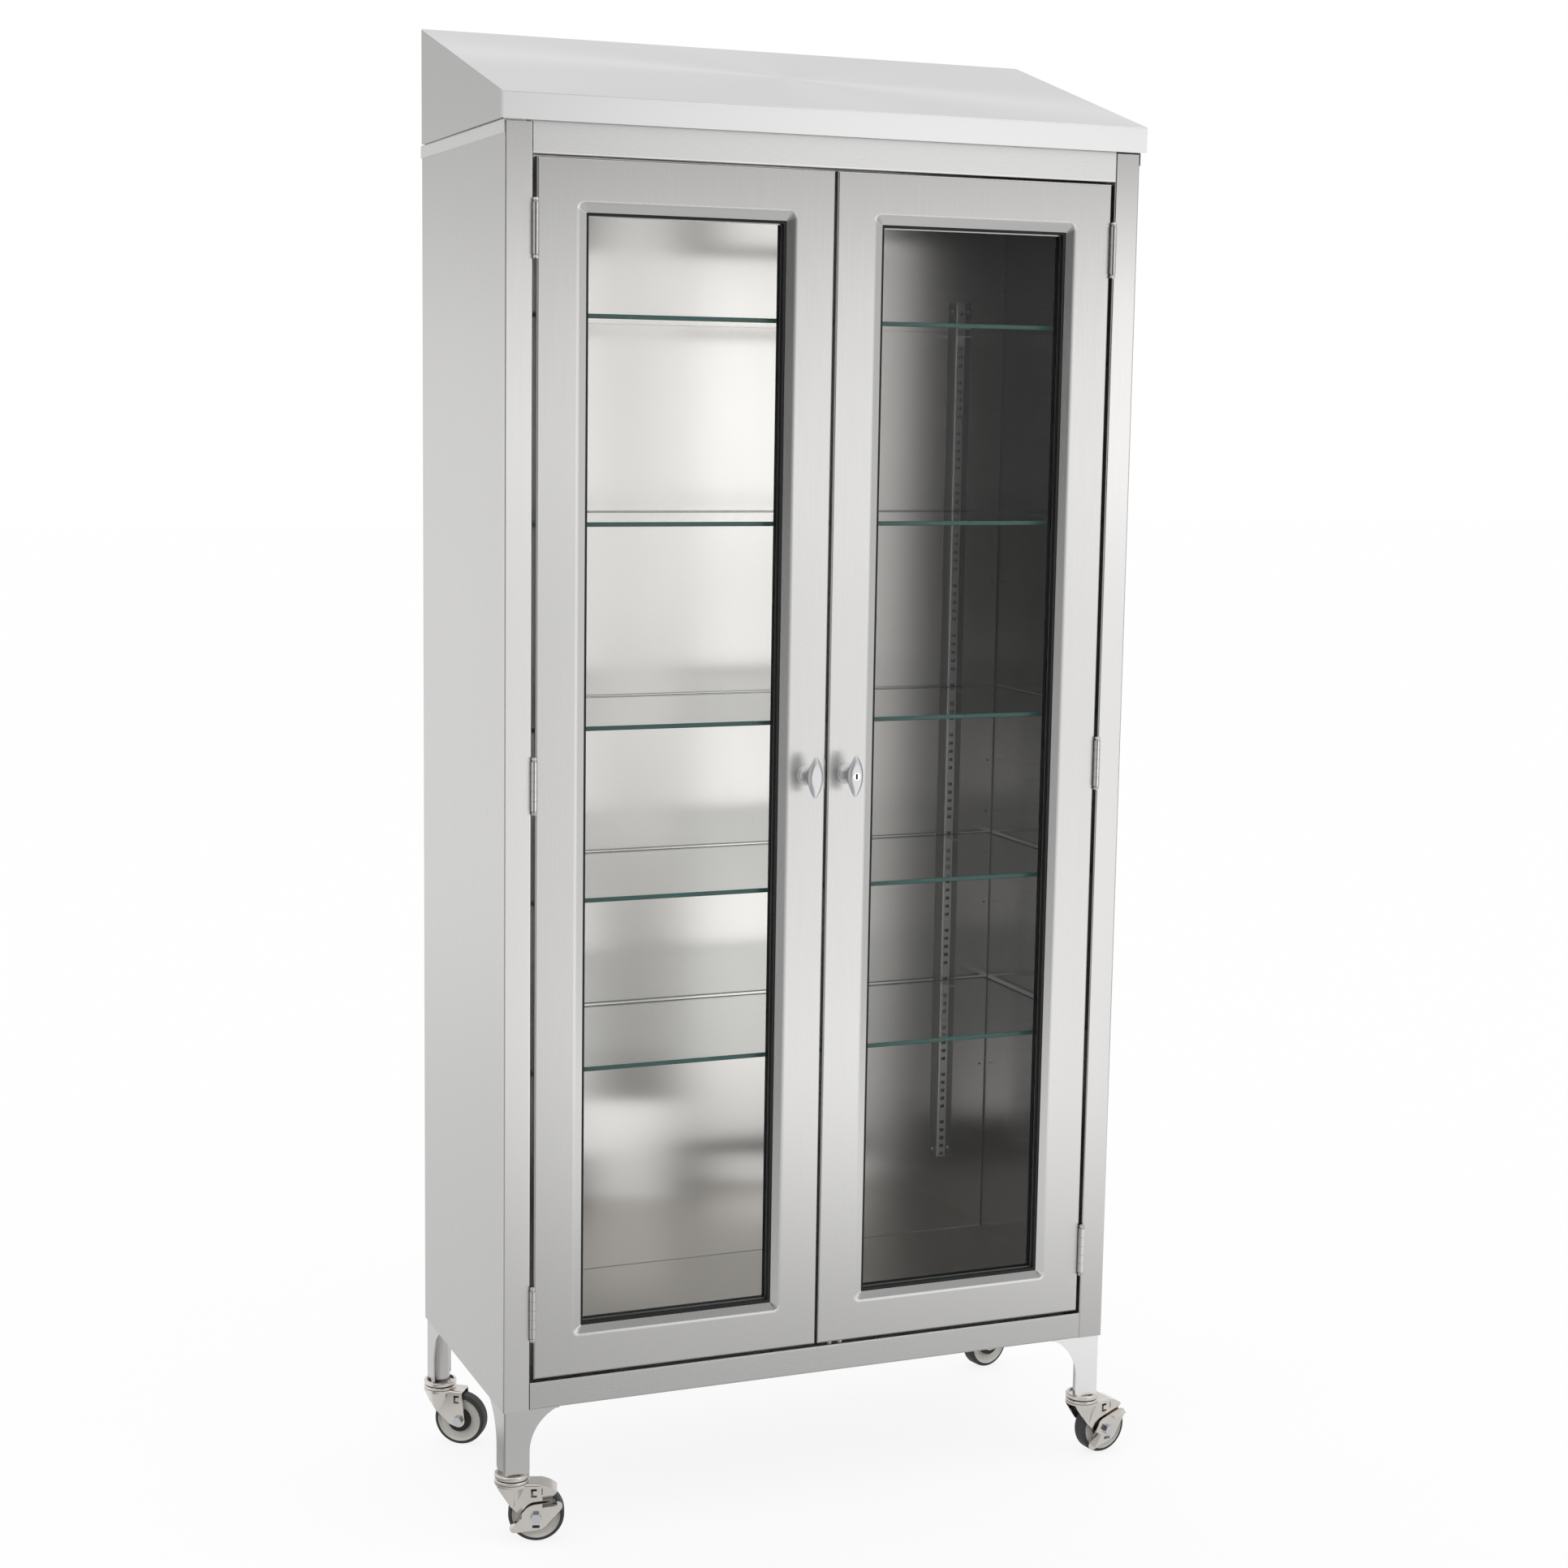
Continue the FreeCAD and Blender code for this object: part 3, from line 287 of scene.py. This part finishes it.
# Dim strips just behind the panes stand for the light that falls in through the windows. Each has its
# place across and width, the height of its middle, its own height, and its power in watts.
pane_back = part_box("right_glass")[1].y
strip_behind_pane = 0.045
strip_aim = Vector((-0.37, 1, 0))
window_spread = math.radians(50)
centre_strip = (-0.03, 0.14)
hinge_strip = (0.385, 0.09)
window_strip = (0.208, 0.29)
window_strips = [(centre_strip, 1.53, 0.66, 0.022), (centre_strip, 1.01, 0.38, 0.0125),
                 (centre_strip, 0.65, 0.34, 0.0065), (centre_strip, 0.3, 0.2, 0.0155),
                 (window_strip, 1.825, 0.08, 0.008), (window_strip, 0.264, 0.05, 0.008),
                 (hinge_strip, 1.0, 1.6, 0.028)]
for (across, width), height, tall, power in window_strips:
    place = Vector((box_middle_x + across, pane_back + strip_behind_pane, height))
    lamp = soft_lamp("lamp_window", place, place + strip_aim, width, tall, power)
    lamp.data.spread = window_spread


# Carcass
# Folded stainless sheet, 1.2 mm thick, brushed before folding. The two sides carry the stiles, the base pan
# carries the bottom rail, and the pieces are welded where they meet.

def new_finish(name):
    """Material with its node tree as a wire and its shader."""
    material = bpy.data.materials.new(name)
    material.use_nodes = True
    return material, Wire(material.node_tree), material.node_tree.nodes["Principled BSDF"]


fine_share = 0.4
broad_share = 0.1
cloud_share = 0.5
tone_swing = 0.05
roughness_swing = 0.06


def brushed_steel(name, tone, scratches, roughness, drag=0.0, across=0.0, share=None):
    """Brushed stainless: fine straight scratches, wider streaks along the grain and faint cloudy patches.

    The grain drags reflections out sideways by the share drag; across turns that direction, as part of a
    turn. Where share is given, it returns the wire of the share of the tone that each place keeps.
    """
    material, paint, shader = new_finish(name)
    place = paint.node("TexCoord", out="Object")
    grain = paint.node("Mapping", {"Vector": place, "Scale": scratches})
    fine = paint.node("TexNoise", {"Vector": grain, "Scale": 1.0, "Detail": 2.0, "Roughness": 0.6})
    broad = paint.node("TexNoise", {"Vector": grain, "Scale": 0.05, "Detail": 2.0})
    cloud = paint.node("TexNoise", {"Vector": place, "Scale": 2.2, "Detail": 2.0})
    shade = fine * fine_share + broad * broad_share + cloud * cloud_share
    dark = [channel * (1 - tone_swing) for channel in tone] + [1]
    light = [min(channel * (1 + tone_swing), 1) for channel in tone] + [1]
    relief = paint.node("Bump", {"Strength": 0.03, "Distance": 0.0002, "Height": fine})
    colour = shade.mix(dark, light)
    if share:
        colour = paint.node("Mix", {0: 1.0, 6: colour, 7: share(paint)}, out=2,
                            data_type="RGBA", blend_type="MULTIPLY")
    paint.feed(shader, {
        "Base Color": colour,
        "Metallic": 1.0,
        "Roughness": roughness + (fine - 0.5) * roughness_swing + (cloud - 0.5) * roughness_swing,
        "Anisotropic": drag,
        "Anisotropic Rotation": across,
        "Normal": relief,
    })
    return material


def dress(material, *nodes):
    """Give CAD pieces a finish."""
    for name in nodes:
        slots = frame["nodes"][name].data.materials
        slots.clear()
        slots.append(material)


def painted_stile_light(paint):
    """Painted light: the front face of the left stile is painted brighter than the side behind it."""
    place = paint.node("TexCoord", out="Object")
    depth = paint.node("SeparateXYZ", {0: place}, out="Y") - left_side_low.y
    return depth.ramp(*stile_face, stile_light_share, 1.0)


def painted_inside_shade(paint):
    """Painted shade: the inner face of the right wall, behind its stile, is painted darker than the outside
    and the stile, most of all high up.
    """
    place = paint.node("TexCoord", out="Object")
    inward = right_side_high.x - paint.node("SeparateXYZ", {0: place}, out="X")
    depth = paint.node("SeparateXYZ", {0: place}, out="Y") - right_side_low.y
    height = paint.node("SeparateXYZ", {0: place}, out="Z")
    inside_shade = height.ramp(*inside_shade_heights, *inside_shade_shares)
    return 1 + inward.ramp(*inner_face) * depth.ramp(*behind_stile) * (inside_shade - 1)


# Painted light on the left stile's front face: how deep it reaches and how much brighter it is.
stile_face = (0.001, 0.003)
stile_light_share = 1.18
# Painted shade on the right wall's inside: where it begins across and behind the stile, and how dark it is
# low and high.
inner_face = (0.0004, 0.0008)
behind_stile = (0.02, 0.03)
inside_shade_heights = (0.9, 1.25)
inside_shade_shares = (0.95, 0.16)
# The back wall and the cabinet's floor get paler tones than the outer sheets: painted light inside the
# cabinet.
steel_tone = (0.625, 0.62, 0.612)
rail_tone = (0.61, 0.606, 0.599)
base_tone = (0.53, 0.527, 0.52)
inner_tone = (0.74, 0.72, 0.7)
right_tone = (0.585, 0.578, 0.57)
floor_steel_tone = (0.75, 0.73, 0.7)
upright_scratches = (1500, 1500, 14)
level_scratches = (14, 1500, 1500)
plated_scratches = (300, 300, 300)
sheet_roughness = 0.28
inner_roughness = 0.22
grain_drag = 0.85
quarter_turn = 0.25
steel_upright = brushed_steel("steel_upright", steel_tone, upright_scratches, sheet_roughness, grain_drag,
                              share=painted_stile_light)
steel_level = brushed_steel("steel_level", rail_tone, level_scratches, sheet_roughness, grain_drag,
                            quarter_turn)
inner_steel = brushed_steel("inner_steel", inner_tone, upright_scratches, inner_roughness, grain_drag)
right_steel = brushed_steel("right_steel", right_tone, upright_scratches, inner_roughness, grain_drag,
                            share=painted_inside_shade)
base_steel = brushed_steel("base_steel", base_tone, level_scratches, sheet_roughness, grain_drag,
                           quarter_turn)
dress(steel_upright, "side_left")
dress(right_steel, "side_right")
dress(steel_level, "top_cap", "top_rail")
dress(base_steel, "base_pan")
dress(inner_steel, "back_panel")
floor_steel = brushed_steel("floor_steel", floor_steel_tone, level_scratches, 0.3)
dress(floor_steel, "floor_panel")


# Rivets of the back wall
# Small dark blind rivets close to both rear corners fix the back sheet to the flanges of the sides. Each
# head is a low cone with the hole that its mandrel left.

def fastener_tree():
    """Node group that stands one low head with a recess on every point, along the point's own direction."""
    tree = bpy.data.node_groups.new("fasteners", "GeometryNodeTree")
    sockets = tree.interface
    sockets.new_socket("Geometry", in_out="INPUT", socket_type="NodeSocketGeometry")
    for name in ("Head Radius", "Head Height", "Recess Length", "Recess Width"):
        sockets.new_socket(name, in_out="INPUT", socket_type="NodeSocketFloat")
    sockets.new_socket("Finish", in_out="INPUT", socket_type="NodeSocketMaterial")
    sockets.new_socket("Geometry", in_out="OUTPUT", socket_type="NodeSocketGeometry")
    wire = Wire(tree)
    given = tree.nodes.new("NodeGroupInput").outputs
    radius = Wire(tree, given["Head Radius"])
    height = Wire(tree, given["Head Height"])
    recess_size = wire.node("CombineXYZ", {
        "X": Wire(tree, given["Recess Length"]), "Y": Wire(tree, given["Recess Width"]), "Z": height})
    recess = wire.node("GeometryNodeMeshCube", {"Size": recess_size})
    at_top = wire.node("CombineXYZ", {"Z": height})
    recess = wire.node("GeometryNodeTransform", {"Geometry": recess, "Translation": at_top})
    head = wire.node("GeometryNodeMeshCone", {
        "Vertices": head_sides, "Radius Bottom": radius, "Radius Top": radius * head_taper, "Depth": height})
    head = wire.node("GeometryNodeMeshBoolean", {"Mesh 1": head, "Mesh 2": recess}, operation="DIFFERENCE")
    facing = wire.node("GeometryNodeInputNamedAttribute", {"Name": "facing"}, data_type="FLOAT_VECTOR")
    turn = wire.node("FunctionNodeAlignRotationToVector", {"Vector": facing}, axis="Z")
    heads = wire.node("GeometryNodeInstanceOnPoints", {
        "Points": Wire(tree, given["Geometry"]), "Instance": head, "Rotation": turn})
    heads = wire.node("GeometryNodeRealizeInstances", {"Geometry": heads})
    heads = wire.node("GeometryNodeSetMaterial", {"Geometry": heads, "Material": Wire(tree, given["Finish"])})
    wire.feed(tree.nodes.new("NodeGroupOutput"), {"Geometry": heads})
    return tree


head_sides = 16
head_taper = 0.72
fasteners = fastener_tree()


def fastener_heads(name, heads, sizes, finish):
    """Plain mesh of one head for each (place, direction), made by the node group."""
    points = bpy.data.meshes.new(name)
    points.from_pydata([place for place, facing in heads], [], [])
    directions = points.attributes.new("facing", "FLOAT_VECTOR", "POINT")
    for value, (place, facing) in zip(directions.data, heads):
        value.vector = facing
    piece = bpy.data.objects.new(name, points)
    bpy.context.scene.collection.objects.link(piece)
    modifier = piece.modifiers.new("heads", "NODES")
    modifier.node_group = fasteners
    values = {**sizes, "Finish": finish}
    for item in fasteners.interface.items_tree:
        if item.in_out == "INPUT" and item.name in values:
            modifier[item.identifier] = values[item.name]
    shaped = piece.evaluated_get(bpy.context.evaluated_depsgraph_get())
    piece.data = bpy.data.meshes.new_from_object(shaped)
    piece.modifiers.clear()
    return piece


rivet_steel = brushed_steel("rivet_steel", (0.12, 0.115, 0.11), plated_scratches, 0.45)
rivet_sizes = {"Head Radius": 0.0018, "Head Height": 0.0006, "Recess Length": 0.0012, "Recess Width": 0.0012}
rivet_heights = (0.2035, 0.3164, 0.578, 0.7229, 0.8036, 1.0822, 1.345, 1.52)
rivet_out = 0.446
wall_inset = 0.014
wall_y = left_side_high.y - wall_inset
rivets = []
for side in (-1, 1):
    for rise in rivet_heights:
        place = (box_middle_x + side * rivet_out, wall_y, box_foot.z + rise)
        rivets.append((place, (0, -1, 0)))
wall_rivets = fastener_heads("wall_rivets", rivets, rivet_sizes, rivet_steel)
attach(wall_rivets, "cabinet")


# Hood
# Sloped top so that nothing can be stored on the cabinet: one brushed sheet folded into lip, slope and back,
# with an end plate welded in at each side.

def painted_lip_shade(paint):
    """Painted shade: the lip, which faces the front, is painted darker than the slope."""
    facing = paint.node("NewGeometry", out="Normal")
    return paint.node("SeparateXYZ", {0: facing}, out="Y").ramp(*lip_facing, 1.0, lip_shade_share)


# Painted shade on the hood's lip, by how squarely it faces the front.
lip_facing = (-0.8, -0.95)
lip_shade_share = 0.88
hood_tone = (0.82, 0.826, 0.822)
hood_steel = brushed_steel("hood_steel", hood_tone, level_scratches, 0.3, grain_drag, quarter_turn, painted_lip_shade)
dress(hood_steel, "hood_sheet")
dress(steel_upright, "hood_end_left", "hood_end_right")


# Legs
# Pressed stainless corner legs, 2 mm thick, welded under the corners. Each has a tube inside that takes the
# stem of its caster.

leg_tone = (0.7, 0.695, 0.688)
painted_light_leg_tone = (1, 1, 1)
leg_steel = brushed_steel("leg_steel", leg_tone, upright_scratches, sheet_roughness, grain_drag)
# A paler, rougher copy of the leg finish for the front right leg: painted light.
painted_light_leg = brushed_steel("painted_light_leg", painted_light_leg_tone, upright_scratches, 0.42)
corners = ("front_left", "front_right", "rear_left", "rear_right")
dress(leg_steel, *["leg_" + corner for corner in corners])
dress(painted_light_leg, "leg_front_right")
dress(leg_steel, "leg_sockets")


# Shelf standards
# Roll-formed hat sections with a row of slots, each held by four slotted screws through its flanges. Bright
# folded clips hook into the slots.

def painted_flange_shade(paint):
    """Painted shade: the flanges of the rear standards, against the wall, are painted darker than the crown.
    """
    place = paint.node("TexCoord", out="Object")
    proud = standards_high.y - paint.node("SeparateXYZ", {0: place}, out="Y")
    return proud.ramp(*crown_depth, flange_shade_share, 1.0)


# Painted shade on the flanges of the rear standards: how far from the wall it ends and how dark it is.
crown_depth = (0.0025, 0.005)
flange_shade_share = 0.4
standards_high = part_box("shelf_standards")[1]
# The standards' tone is paler than the sheets round them: painted light.
standard_tone = (0.97, 0.96, 0.94)
standard_steel = brushed_steel("standard_steel", standard_tone, upright_scratches, 0.38, share=painted_flange_shade)
clip_steel = brushed_steel("clip_steel", (0.97, 0.97, 0.96), plated_scratches, 0.5)
dress(standard_steel, "shelf_standards")
dress(clip_steel, "shelf_clips", "ledge_studs")

screw_radius = 0.0025
screw_sizes = {"Head Radius": screw_radius, "Head Height": 0.0015,
               "Recess Length": 0.004, "Recess Width": 0.0008}
screw_across = 0.01325
rear_standard_out = 0.379
front_standard_inset = 0.058
front_standard_y = left_side_low.y + front_standard_inset
screws_low, screws_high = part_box("standard_screws")
screws = []
for height in (screws_low.z + screw_radius, screws_high.z - screw_radius):
    for across in (-screw_across, screw_across):
        for side in (-rear_standard_out, rear_standard_out):
            screws.append(((box_middle_x + side + across, screws_high.y, height), (0, -1, 0)))
        screws.append(((screws_low.x, front_standard_y + across, height), (1, 0, 0)))
        screws.append(((screws_high.x, front_standard_y + across, height), (-1, 0, 0)))
standard_screws = fastener_heads("standard_screw_heads", screws, screw_sizes, clip_steel)
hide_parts("standard_screws")
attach(standard_screws, "cabinet")


# Glass shelves
# 6 mm float glass with ground and polished edges; the sheet is clear and the edge shows the green of the
# glass. The front edge is a bevelled bar, and the other three show as a thin line through the top face.

straight_mirror = 0.043
grazing_power = 5.0


def clear_sheet(name, tint, mirror_share):
    """Clear glass drawn as one face: tinted see-through, with a mirror that grows towards grazing angles."""
    material, paint, shader = new_finish(name)
    place = paint.node("TexCoord", out="Object")
    film = paint.node("TexNoise", {"Vector": place, "Scale": 7.0, "Detail": 3.0})
    paint.feed(shader, {"Base Color": (1, 1, 1, 1), "Metallic": 1.0, "Roughness": 0.01 + film * 0.03})
    aslant = paint.node("LayerWeight", {"Blend": 0.5}, out="Facing")
    one_face = straight_mirror + (1 - straight_mirror) * paint.math("POWER", aslant, grazing_power)
    both_faces = 2 * one_face / (1 + one_face)
    clear = paint.node("BsdfTransparent", {"Color": tint})
    mirror = Wire(paint.tree, shader.outputs[0])
    whole = paint.node("MixShader", {0: both_faces * mirror_share, 1: clear, 2: mirror})
    paint.feed(paint.tree.nodes["Material Output"], {"Surface": whole})
    return material


def edge_glass():
    """Polished edge, deep green where the light comes from inside the sheet."""
    material, paint, shader = new_finish("shelf_edge")
    place = paint.node("TexCoord", out="Object")
    streak = paint.node("TexNoise", {"Vector": place, "Scale": 30.0, "Detail": 2.0})
    paint.feed(shader, {
        "Base Color": streak.mix((0.006, 0.07, 0.057, 1), (0.016, 0.12, 0.1, 1)),
        "Roughness": 0.2 + streak * 0.1,
        "IOR": 1.45,
    })
    return material


def glass_piece(name, points, faces, finish, body):
    """Mesh of given points and faces with its normals outward, one finish, riding on a body."""
    mesh = bpy.data.meshes.new(name)
    mesh.from_pydata(points, [], faces)
    shape = bmesh.new()
    shape.from_mesh(mesh)
    bmesh.ops.recalc_face_normals(shape, faces=shape.faces)
    shape.to_mesh(mesh)
    shape.free()
    mesh.materials.append(finish)
    piece = bpy.data.objects.new(name, mesh)
    bpy.context.scene.collection.objects.link(piece)
    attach(piece, body)
    return piece


def drawn_out(outline, shift, start):
    """Points and faces of an outline drawn out along a shift; face numbers begin at start."""
    count = len(outline)
    points = [Vector(point) for point in outline]
    points += [point + Vector(shift) for point in points]
    faces = [tuple(range(start, start + count)), tuple(range(start + count, start + 2 * count))]
    for turn in range(count):
        after = (turn + 1) % count
        faces.append((start + turn, start + after, start + count + after, start + count + turn))
    return points, faces


shelf_sheet = clear_sheet("shelf_sheet", (0.965, 0.985, 0.975, 1), 1.0)
shelf_edge = edge_glass()
bar_width = 0.0014
edge_bevel = 0.0007
edge_line = 0.005
line_depth = 0.0005
shelf_count = 5
for number in range(1, shelf_count + 1):
    name = "shelf_" + str(number)
    low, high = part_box(name)
    back_of_bar = low.y + bar_width
    profile = [(low.x, low.y, low.z + edge_bevel), (low.x, low.y, high.z - edge_bevel),
               (low.x, low.y + edge_bevel, high.z), (low.x, back_of_bar, high.z),
               (low.x, back_of_bar, low.z), (low.x, low.y + edge_bevel, low.z)]
    points, faces = drawn_out(profile, (high.x - low.x, 0, 0), 0)
    under = high.z - line_depth
    band = [(low.x, back_of_bar, under), (low.x, high.y, under), (high.x, high.y, under),
            (high.x, back_of_bar, under), (high.x - edge_line, back_of_bar, under),
            (high.x - edge_line, high.y - edge_line, under), (low.x + edge_line, high.y - edge_line, under),
            (low.x + edge_line, back_of_bar, under)]
    band_points, band_faces = drawn_out(band, (0, 0, line_depth), len(points))
    points += band_points
    faces += band_faces
    glass_piece(name + "_edge", points, faces, shelf_edge, "cabinet")
    level = under - line_depth
    corners_of_sheet = [(low.x, back_of_bar, level), (high.x, back_of_bar, level),
                        (high.x, high.y, level), (low.x, high.y, level)]
    sheet_faces = [(0, 1, 2, 3)]
    sheet = glass_piece(name + "_sheet", corners_of_sheet, sheet_faces, shelf_sheet, "cabinet")
    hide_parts(name)


# Doors
# Each door is an outer and an inner stainless pan, one inside the other. The outer pan has a shallow dished
# border pressed in round its window.

def painted_shade_below(paint):
    """Painted shade: faces that look down, such as the top slope of the window border, are painted darker."""
    facing = paint.node("NewGeometry", out="Normal")
    return paint.node("SeparateXYZ", {0: facing}, out="Z").ramp(*facing_down, 1.0, below_shade_share)


# Painted shade on faces that look down: where it begins and how dark it gets.
facing_down = (-0.04, -0.15)
below_shade_share = 0.6
# The inner pans of the doors are a darker copy of the door steel: painted shade.
liner_shade_tone = (0.45, 0.44, 0.43)
door_steel = brushed_steel("door_steel", steel_tone, upright_scratches, sheet_roughness, grain_drag,
                           share=painted_shade_below)
liner_steel = brushed_steel("liner_steel", liner_shade_tone, upright_scratches, sheet_roughness, grain_drag)
for side in ("left", "right"):
    dress(door_steel, side + "_door_skin")
    dress(liner_steel, side + "_door_liner")
dress(door_steel, "left_strike")


# Windows
# A black rubber channel round each window holds a 5 mm pane. The pane's ground edge shows as a thin pale bead
# just inside the rubber lip.

def window_rubber():
    """Matt black rubber with a little dust."""
    material, paint, shader = new_finish("window_rubber")
    place = paint.node("TexCoord", out="Object")
    dust = paint.node("TexNoise", {"Vector": place, "Scale": 180.0, "Detail": 4.0})
    paint.feed(shader, {
        "Base Color": dust.mix((0.004, 0.004, 0.005, 1), (0.014, 0.014, 0.016, 1)),
        "Roughness": 0.45 + dust * 0.25,
        "Normal": paint.node("Bump", {"Strength": 0.2, "Distance": 0.0002, "Height": dust}),
    })
    return material


corner_angles = (0, 30, 60, 90)


def rounded_outline(low, high, inset, corner, y):
    """Upright outline with rounded corners, inset from a box seen from the front."""
    points = []
    x0, x1 = low.x + inset + corner, high.x - inset - corner
    z0, z1 = low.z + inset + corner, high.z - inset - corner
    for x, z, first in ((x0, z0, 180), (x1, z0, 270), (x1, z1, 0), (x0, z1, 90)):
        for part in corner_angles:
            turn = math.radians(first + part)
            points.append(Vector((x + corner * math.cos(turn), y, z + corner * math.sin(turn))))
    return points


dress(window_rubber(), "left_gasket", "right_gasket")
pane_sheet = clear_sheet("pane_sheet", (0.975, 0.98, 0.975, 1), 0.15)
pane_bead = brushed_steel("pane_bead", (0.5, 0.52, 0.52), plated_scratches, 0.3)
rubber_width = 0.0135
bead_width = 0.0016
bead_depth = 0.0008
window_corner = 0.0015
for side in ("left", "right"):
    low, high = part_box(side + "_glass")
    pane_outline = rounded_outline(low, high, 0, window_corner, (low.y + high.y) / 2)
    pane_faces = [tuple(range(len(pane_outline)))]
    pane = glass_piece(side + "_pane", pane_outline, pane_faces, pane_sheet, side + "_door")
    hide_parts(side + "_glass")
    rubber_low, rubber_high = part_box(side + "_gasket")
    rings = []
    bead_front = low.y - bead_depth
    for y, inset in ((low.y, 0), (low.y, bead_width), (bead_front, bead_width), (bead_front, 0)):
        rings.append(rounded_outline(rubber_low, rubber_high, rubber_width + inset, window_corner, y))
    count = len(rings[0])
    faces = []
    for ring in range(len(rings)):
        following = (ring + 1) % len(rings)
        for turn in range(count):
            after = (turn + 1) % count
            faces.append((ring * count + turn, ring * count + after,
                          following * count + after, following * count + turn))
    glass_piece(side + "_pane_bead", sum(rings, []), faces, pane_bead, side + "_door")


# Hinges
# Three butt hinges a door, five knuckles each, rolled from plain stainless strip round a pin with ball
# tips. One leaf is fixed to the stile's jamb and the other to the door's edge.

hinge_scratches = (250, 250, 60)
hinge_steel = brushed_steel("hinge_steel", (0.7, 0.69, 0.68), hinge_scratches, 0.26)
dress(hinge_steel, "hinge_frame_leaves", "left_hinge_leaves", "right_hinge_leaves", "hinge_pins")


# Knobs, latch and lock
# Cast almond-shaped knobs with a satin chrome finish; the right one turns the latch and holds the plug of
# the lock.

def painted_keyway_shade(paint):
    """Painted shade: an upright key slot in the middle of the plug's face, painted black."""
    place = paint.node("TexCoord", out="Object")
    middle = (plug_low + plug_high) / 2
    across = paint.math("ABSOLUTE", paint.node("SeparateXYZ", {0: place}, out="X") - middle.x)
    along = paint.math("ABSOLUTE", paint.node("SeparateXYZ", {0: place}, out="Z") - middle.z)
    within_width = across.ramp(slot_width / 2 + slot_blur, slot_width / 2)
    within_length = along.ramp(slot_length / 2 + slot_blur, slot_length / 2)
    return 1 - within_width * within_length


slot_length = 0.0074
slot_width = 0.0026
slot_blur = 0.0002
plug_low, plug_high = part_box("key_plug")
knob_grain = (160, 160, 160)
plug_grain = (400, 400, 400)
knob_satin = brushed_steel("knob_satin", (0.78, 0.785, 0.795), knob_grain, 0.48)
plug_nickel = brushed_steel("plug_nickel", (0.83, 0.83, 0.82), plug_grain, 0.16, share=painted_keyway_shade)
dress(knob_satin, "left_knob", "right_knob")
dress(plug_nickel, "key_plug")
dress(hinge_steel, "latch_arm")


# Casters
# Swivel casters with pressed nickel-plated forks, dark rubber tyres on cream hubs with a black boss, and
# zinc-plated axle bolts. The front pair have stamped brake levers.

def nickel_plate():
    """Bright nickel with a faint haze."""
    material, paint, shader = new_finish("caster_nickel")
    place = paint.node("TexCoord", out="Object")
    haze = paint.node("TexNoise", {"Vector": place, "Scale": 45.0, "Detail": 4.0})
    paint.feed(shader, {
        "Base Color": haze.mix((0.74, 0.71, 0.67, 1), (0.86, 0.83, 0.79, 1)),
        "Metallic": 1.0,
        "Roughness": 0.1 + haze * 0.1,
    })
    return material


def from_axle(paint, corner):
    """Distance of the shaded point from the wheel's axle."""
    spins = [joint for joint in frame["record"]["behaviour"]["joints"] if joint["name"] == corner + "_spin"]
    place = paint.node("TexCoord", out="Object")
    arm = paint.node("VectorMath", {0: place, 1: spins[0]["pos_m"]}, operation="SUBTRACT")
    arm = paint.node("VectorMath", {0: arm, 1: spins[0]["axis"]}, operation="CROSS_PRODUCT")
    return paint.node("VectorMath", {0: arm}, out="Value", operation="LENGTH")


def tyre_rubber(corner):
    """Dark grey rubber, a little paler on its shoulders."""
    material, paint, shader = new_finish(corner + "_tyre_rubber")
    place = paint.node("TexCoord", out="Object")
    dust = paint.node("TexNoise", {"Vector": place, "Scale": 130.0, "Detail": 5.0})
    shoulder = from_axle(paint, corner).ramp(*shoulder_radii) * shoulder_share
    paint.feed(shader, {
        "Base Color": (dust * 0.6 + shoulder).mix((0.03, 0.03, 0.034, 1), (0.085, 0.085, 0.09, 1)),
        "Roughness": 0.45 + dust * 0.2,
        "Normal": paint.node("Bump", {"Strength": 0.2, "Distance": 0.0003, "Height": dust}),
    })
    return material


def hub_plastic(corner):
    """Cream moulding with a black boss round the axle."""
    material, paint, shader = new_finish(corner + "_hub_plastic")
    place = paint.node("TexCoord", out="Object")
    mottle = paint.node("TexNoise", {"Vector": place, "Scale": 60.0, "Detail": 3.0})
    cream = mottle.mix((0.8, 0.775, 0.72, 1), (0.9, 0.875, 0.82, 1))
    boss = from_axle(paint, corner).ramp(*boss_radii)
    paint.feed(shader, {
        "Base Color": boss.mix(cream, (0.012, 0.012, 0.013, 1)),
        "Roughness": 0.42 + mottle * 0.15,
    })
    return material


shoulder_radii = (0.0335, 0.0355)
shoulder_share = 0.4
boss_radii = (0.0182, 0.0176)
zinc_grain = (200, 200, 200)
nickel = nickel_plate()
zinc = brushed_steel("zinc_bolt", (0.72, 0.75, 0.78), zinc_grain, 0.26)
dress(nickel, "caster_stems", "front_left_brake", "front_right_brake")
for corner in corners:
    dress(nickel, corner + "_fork")
    dress(zinc, corner + "_axle")
    dress(hub_plastic(corner), corner + "_hub")
    dress(tyre_rubber(corner), corner + "_tyre")
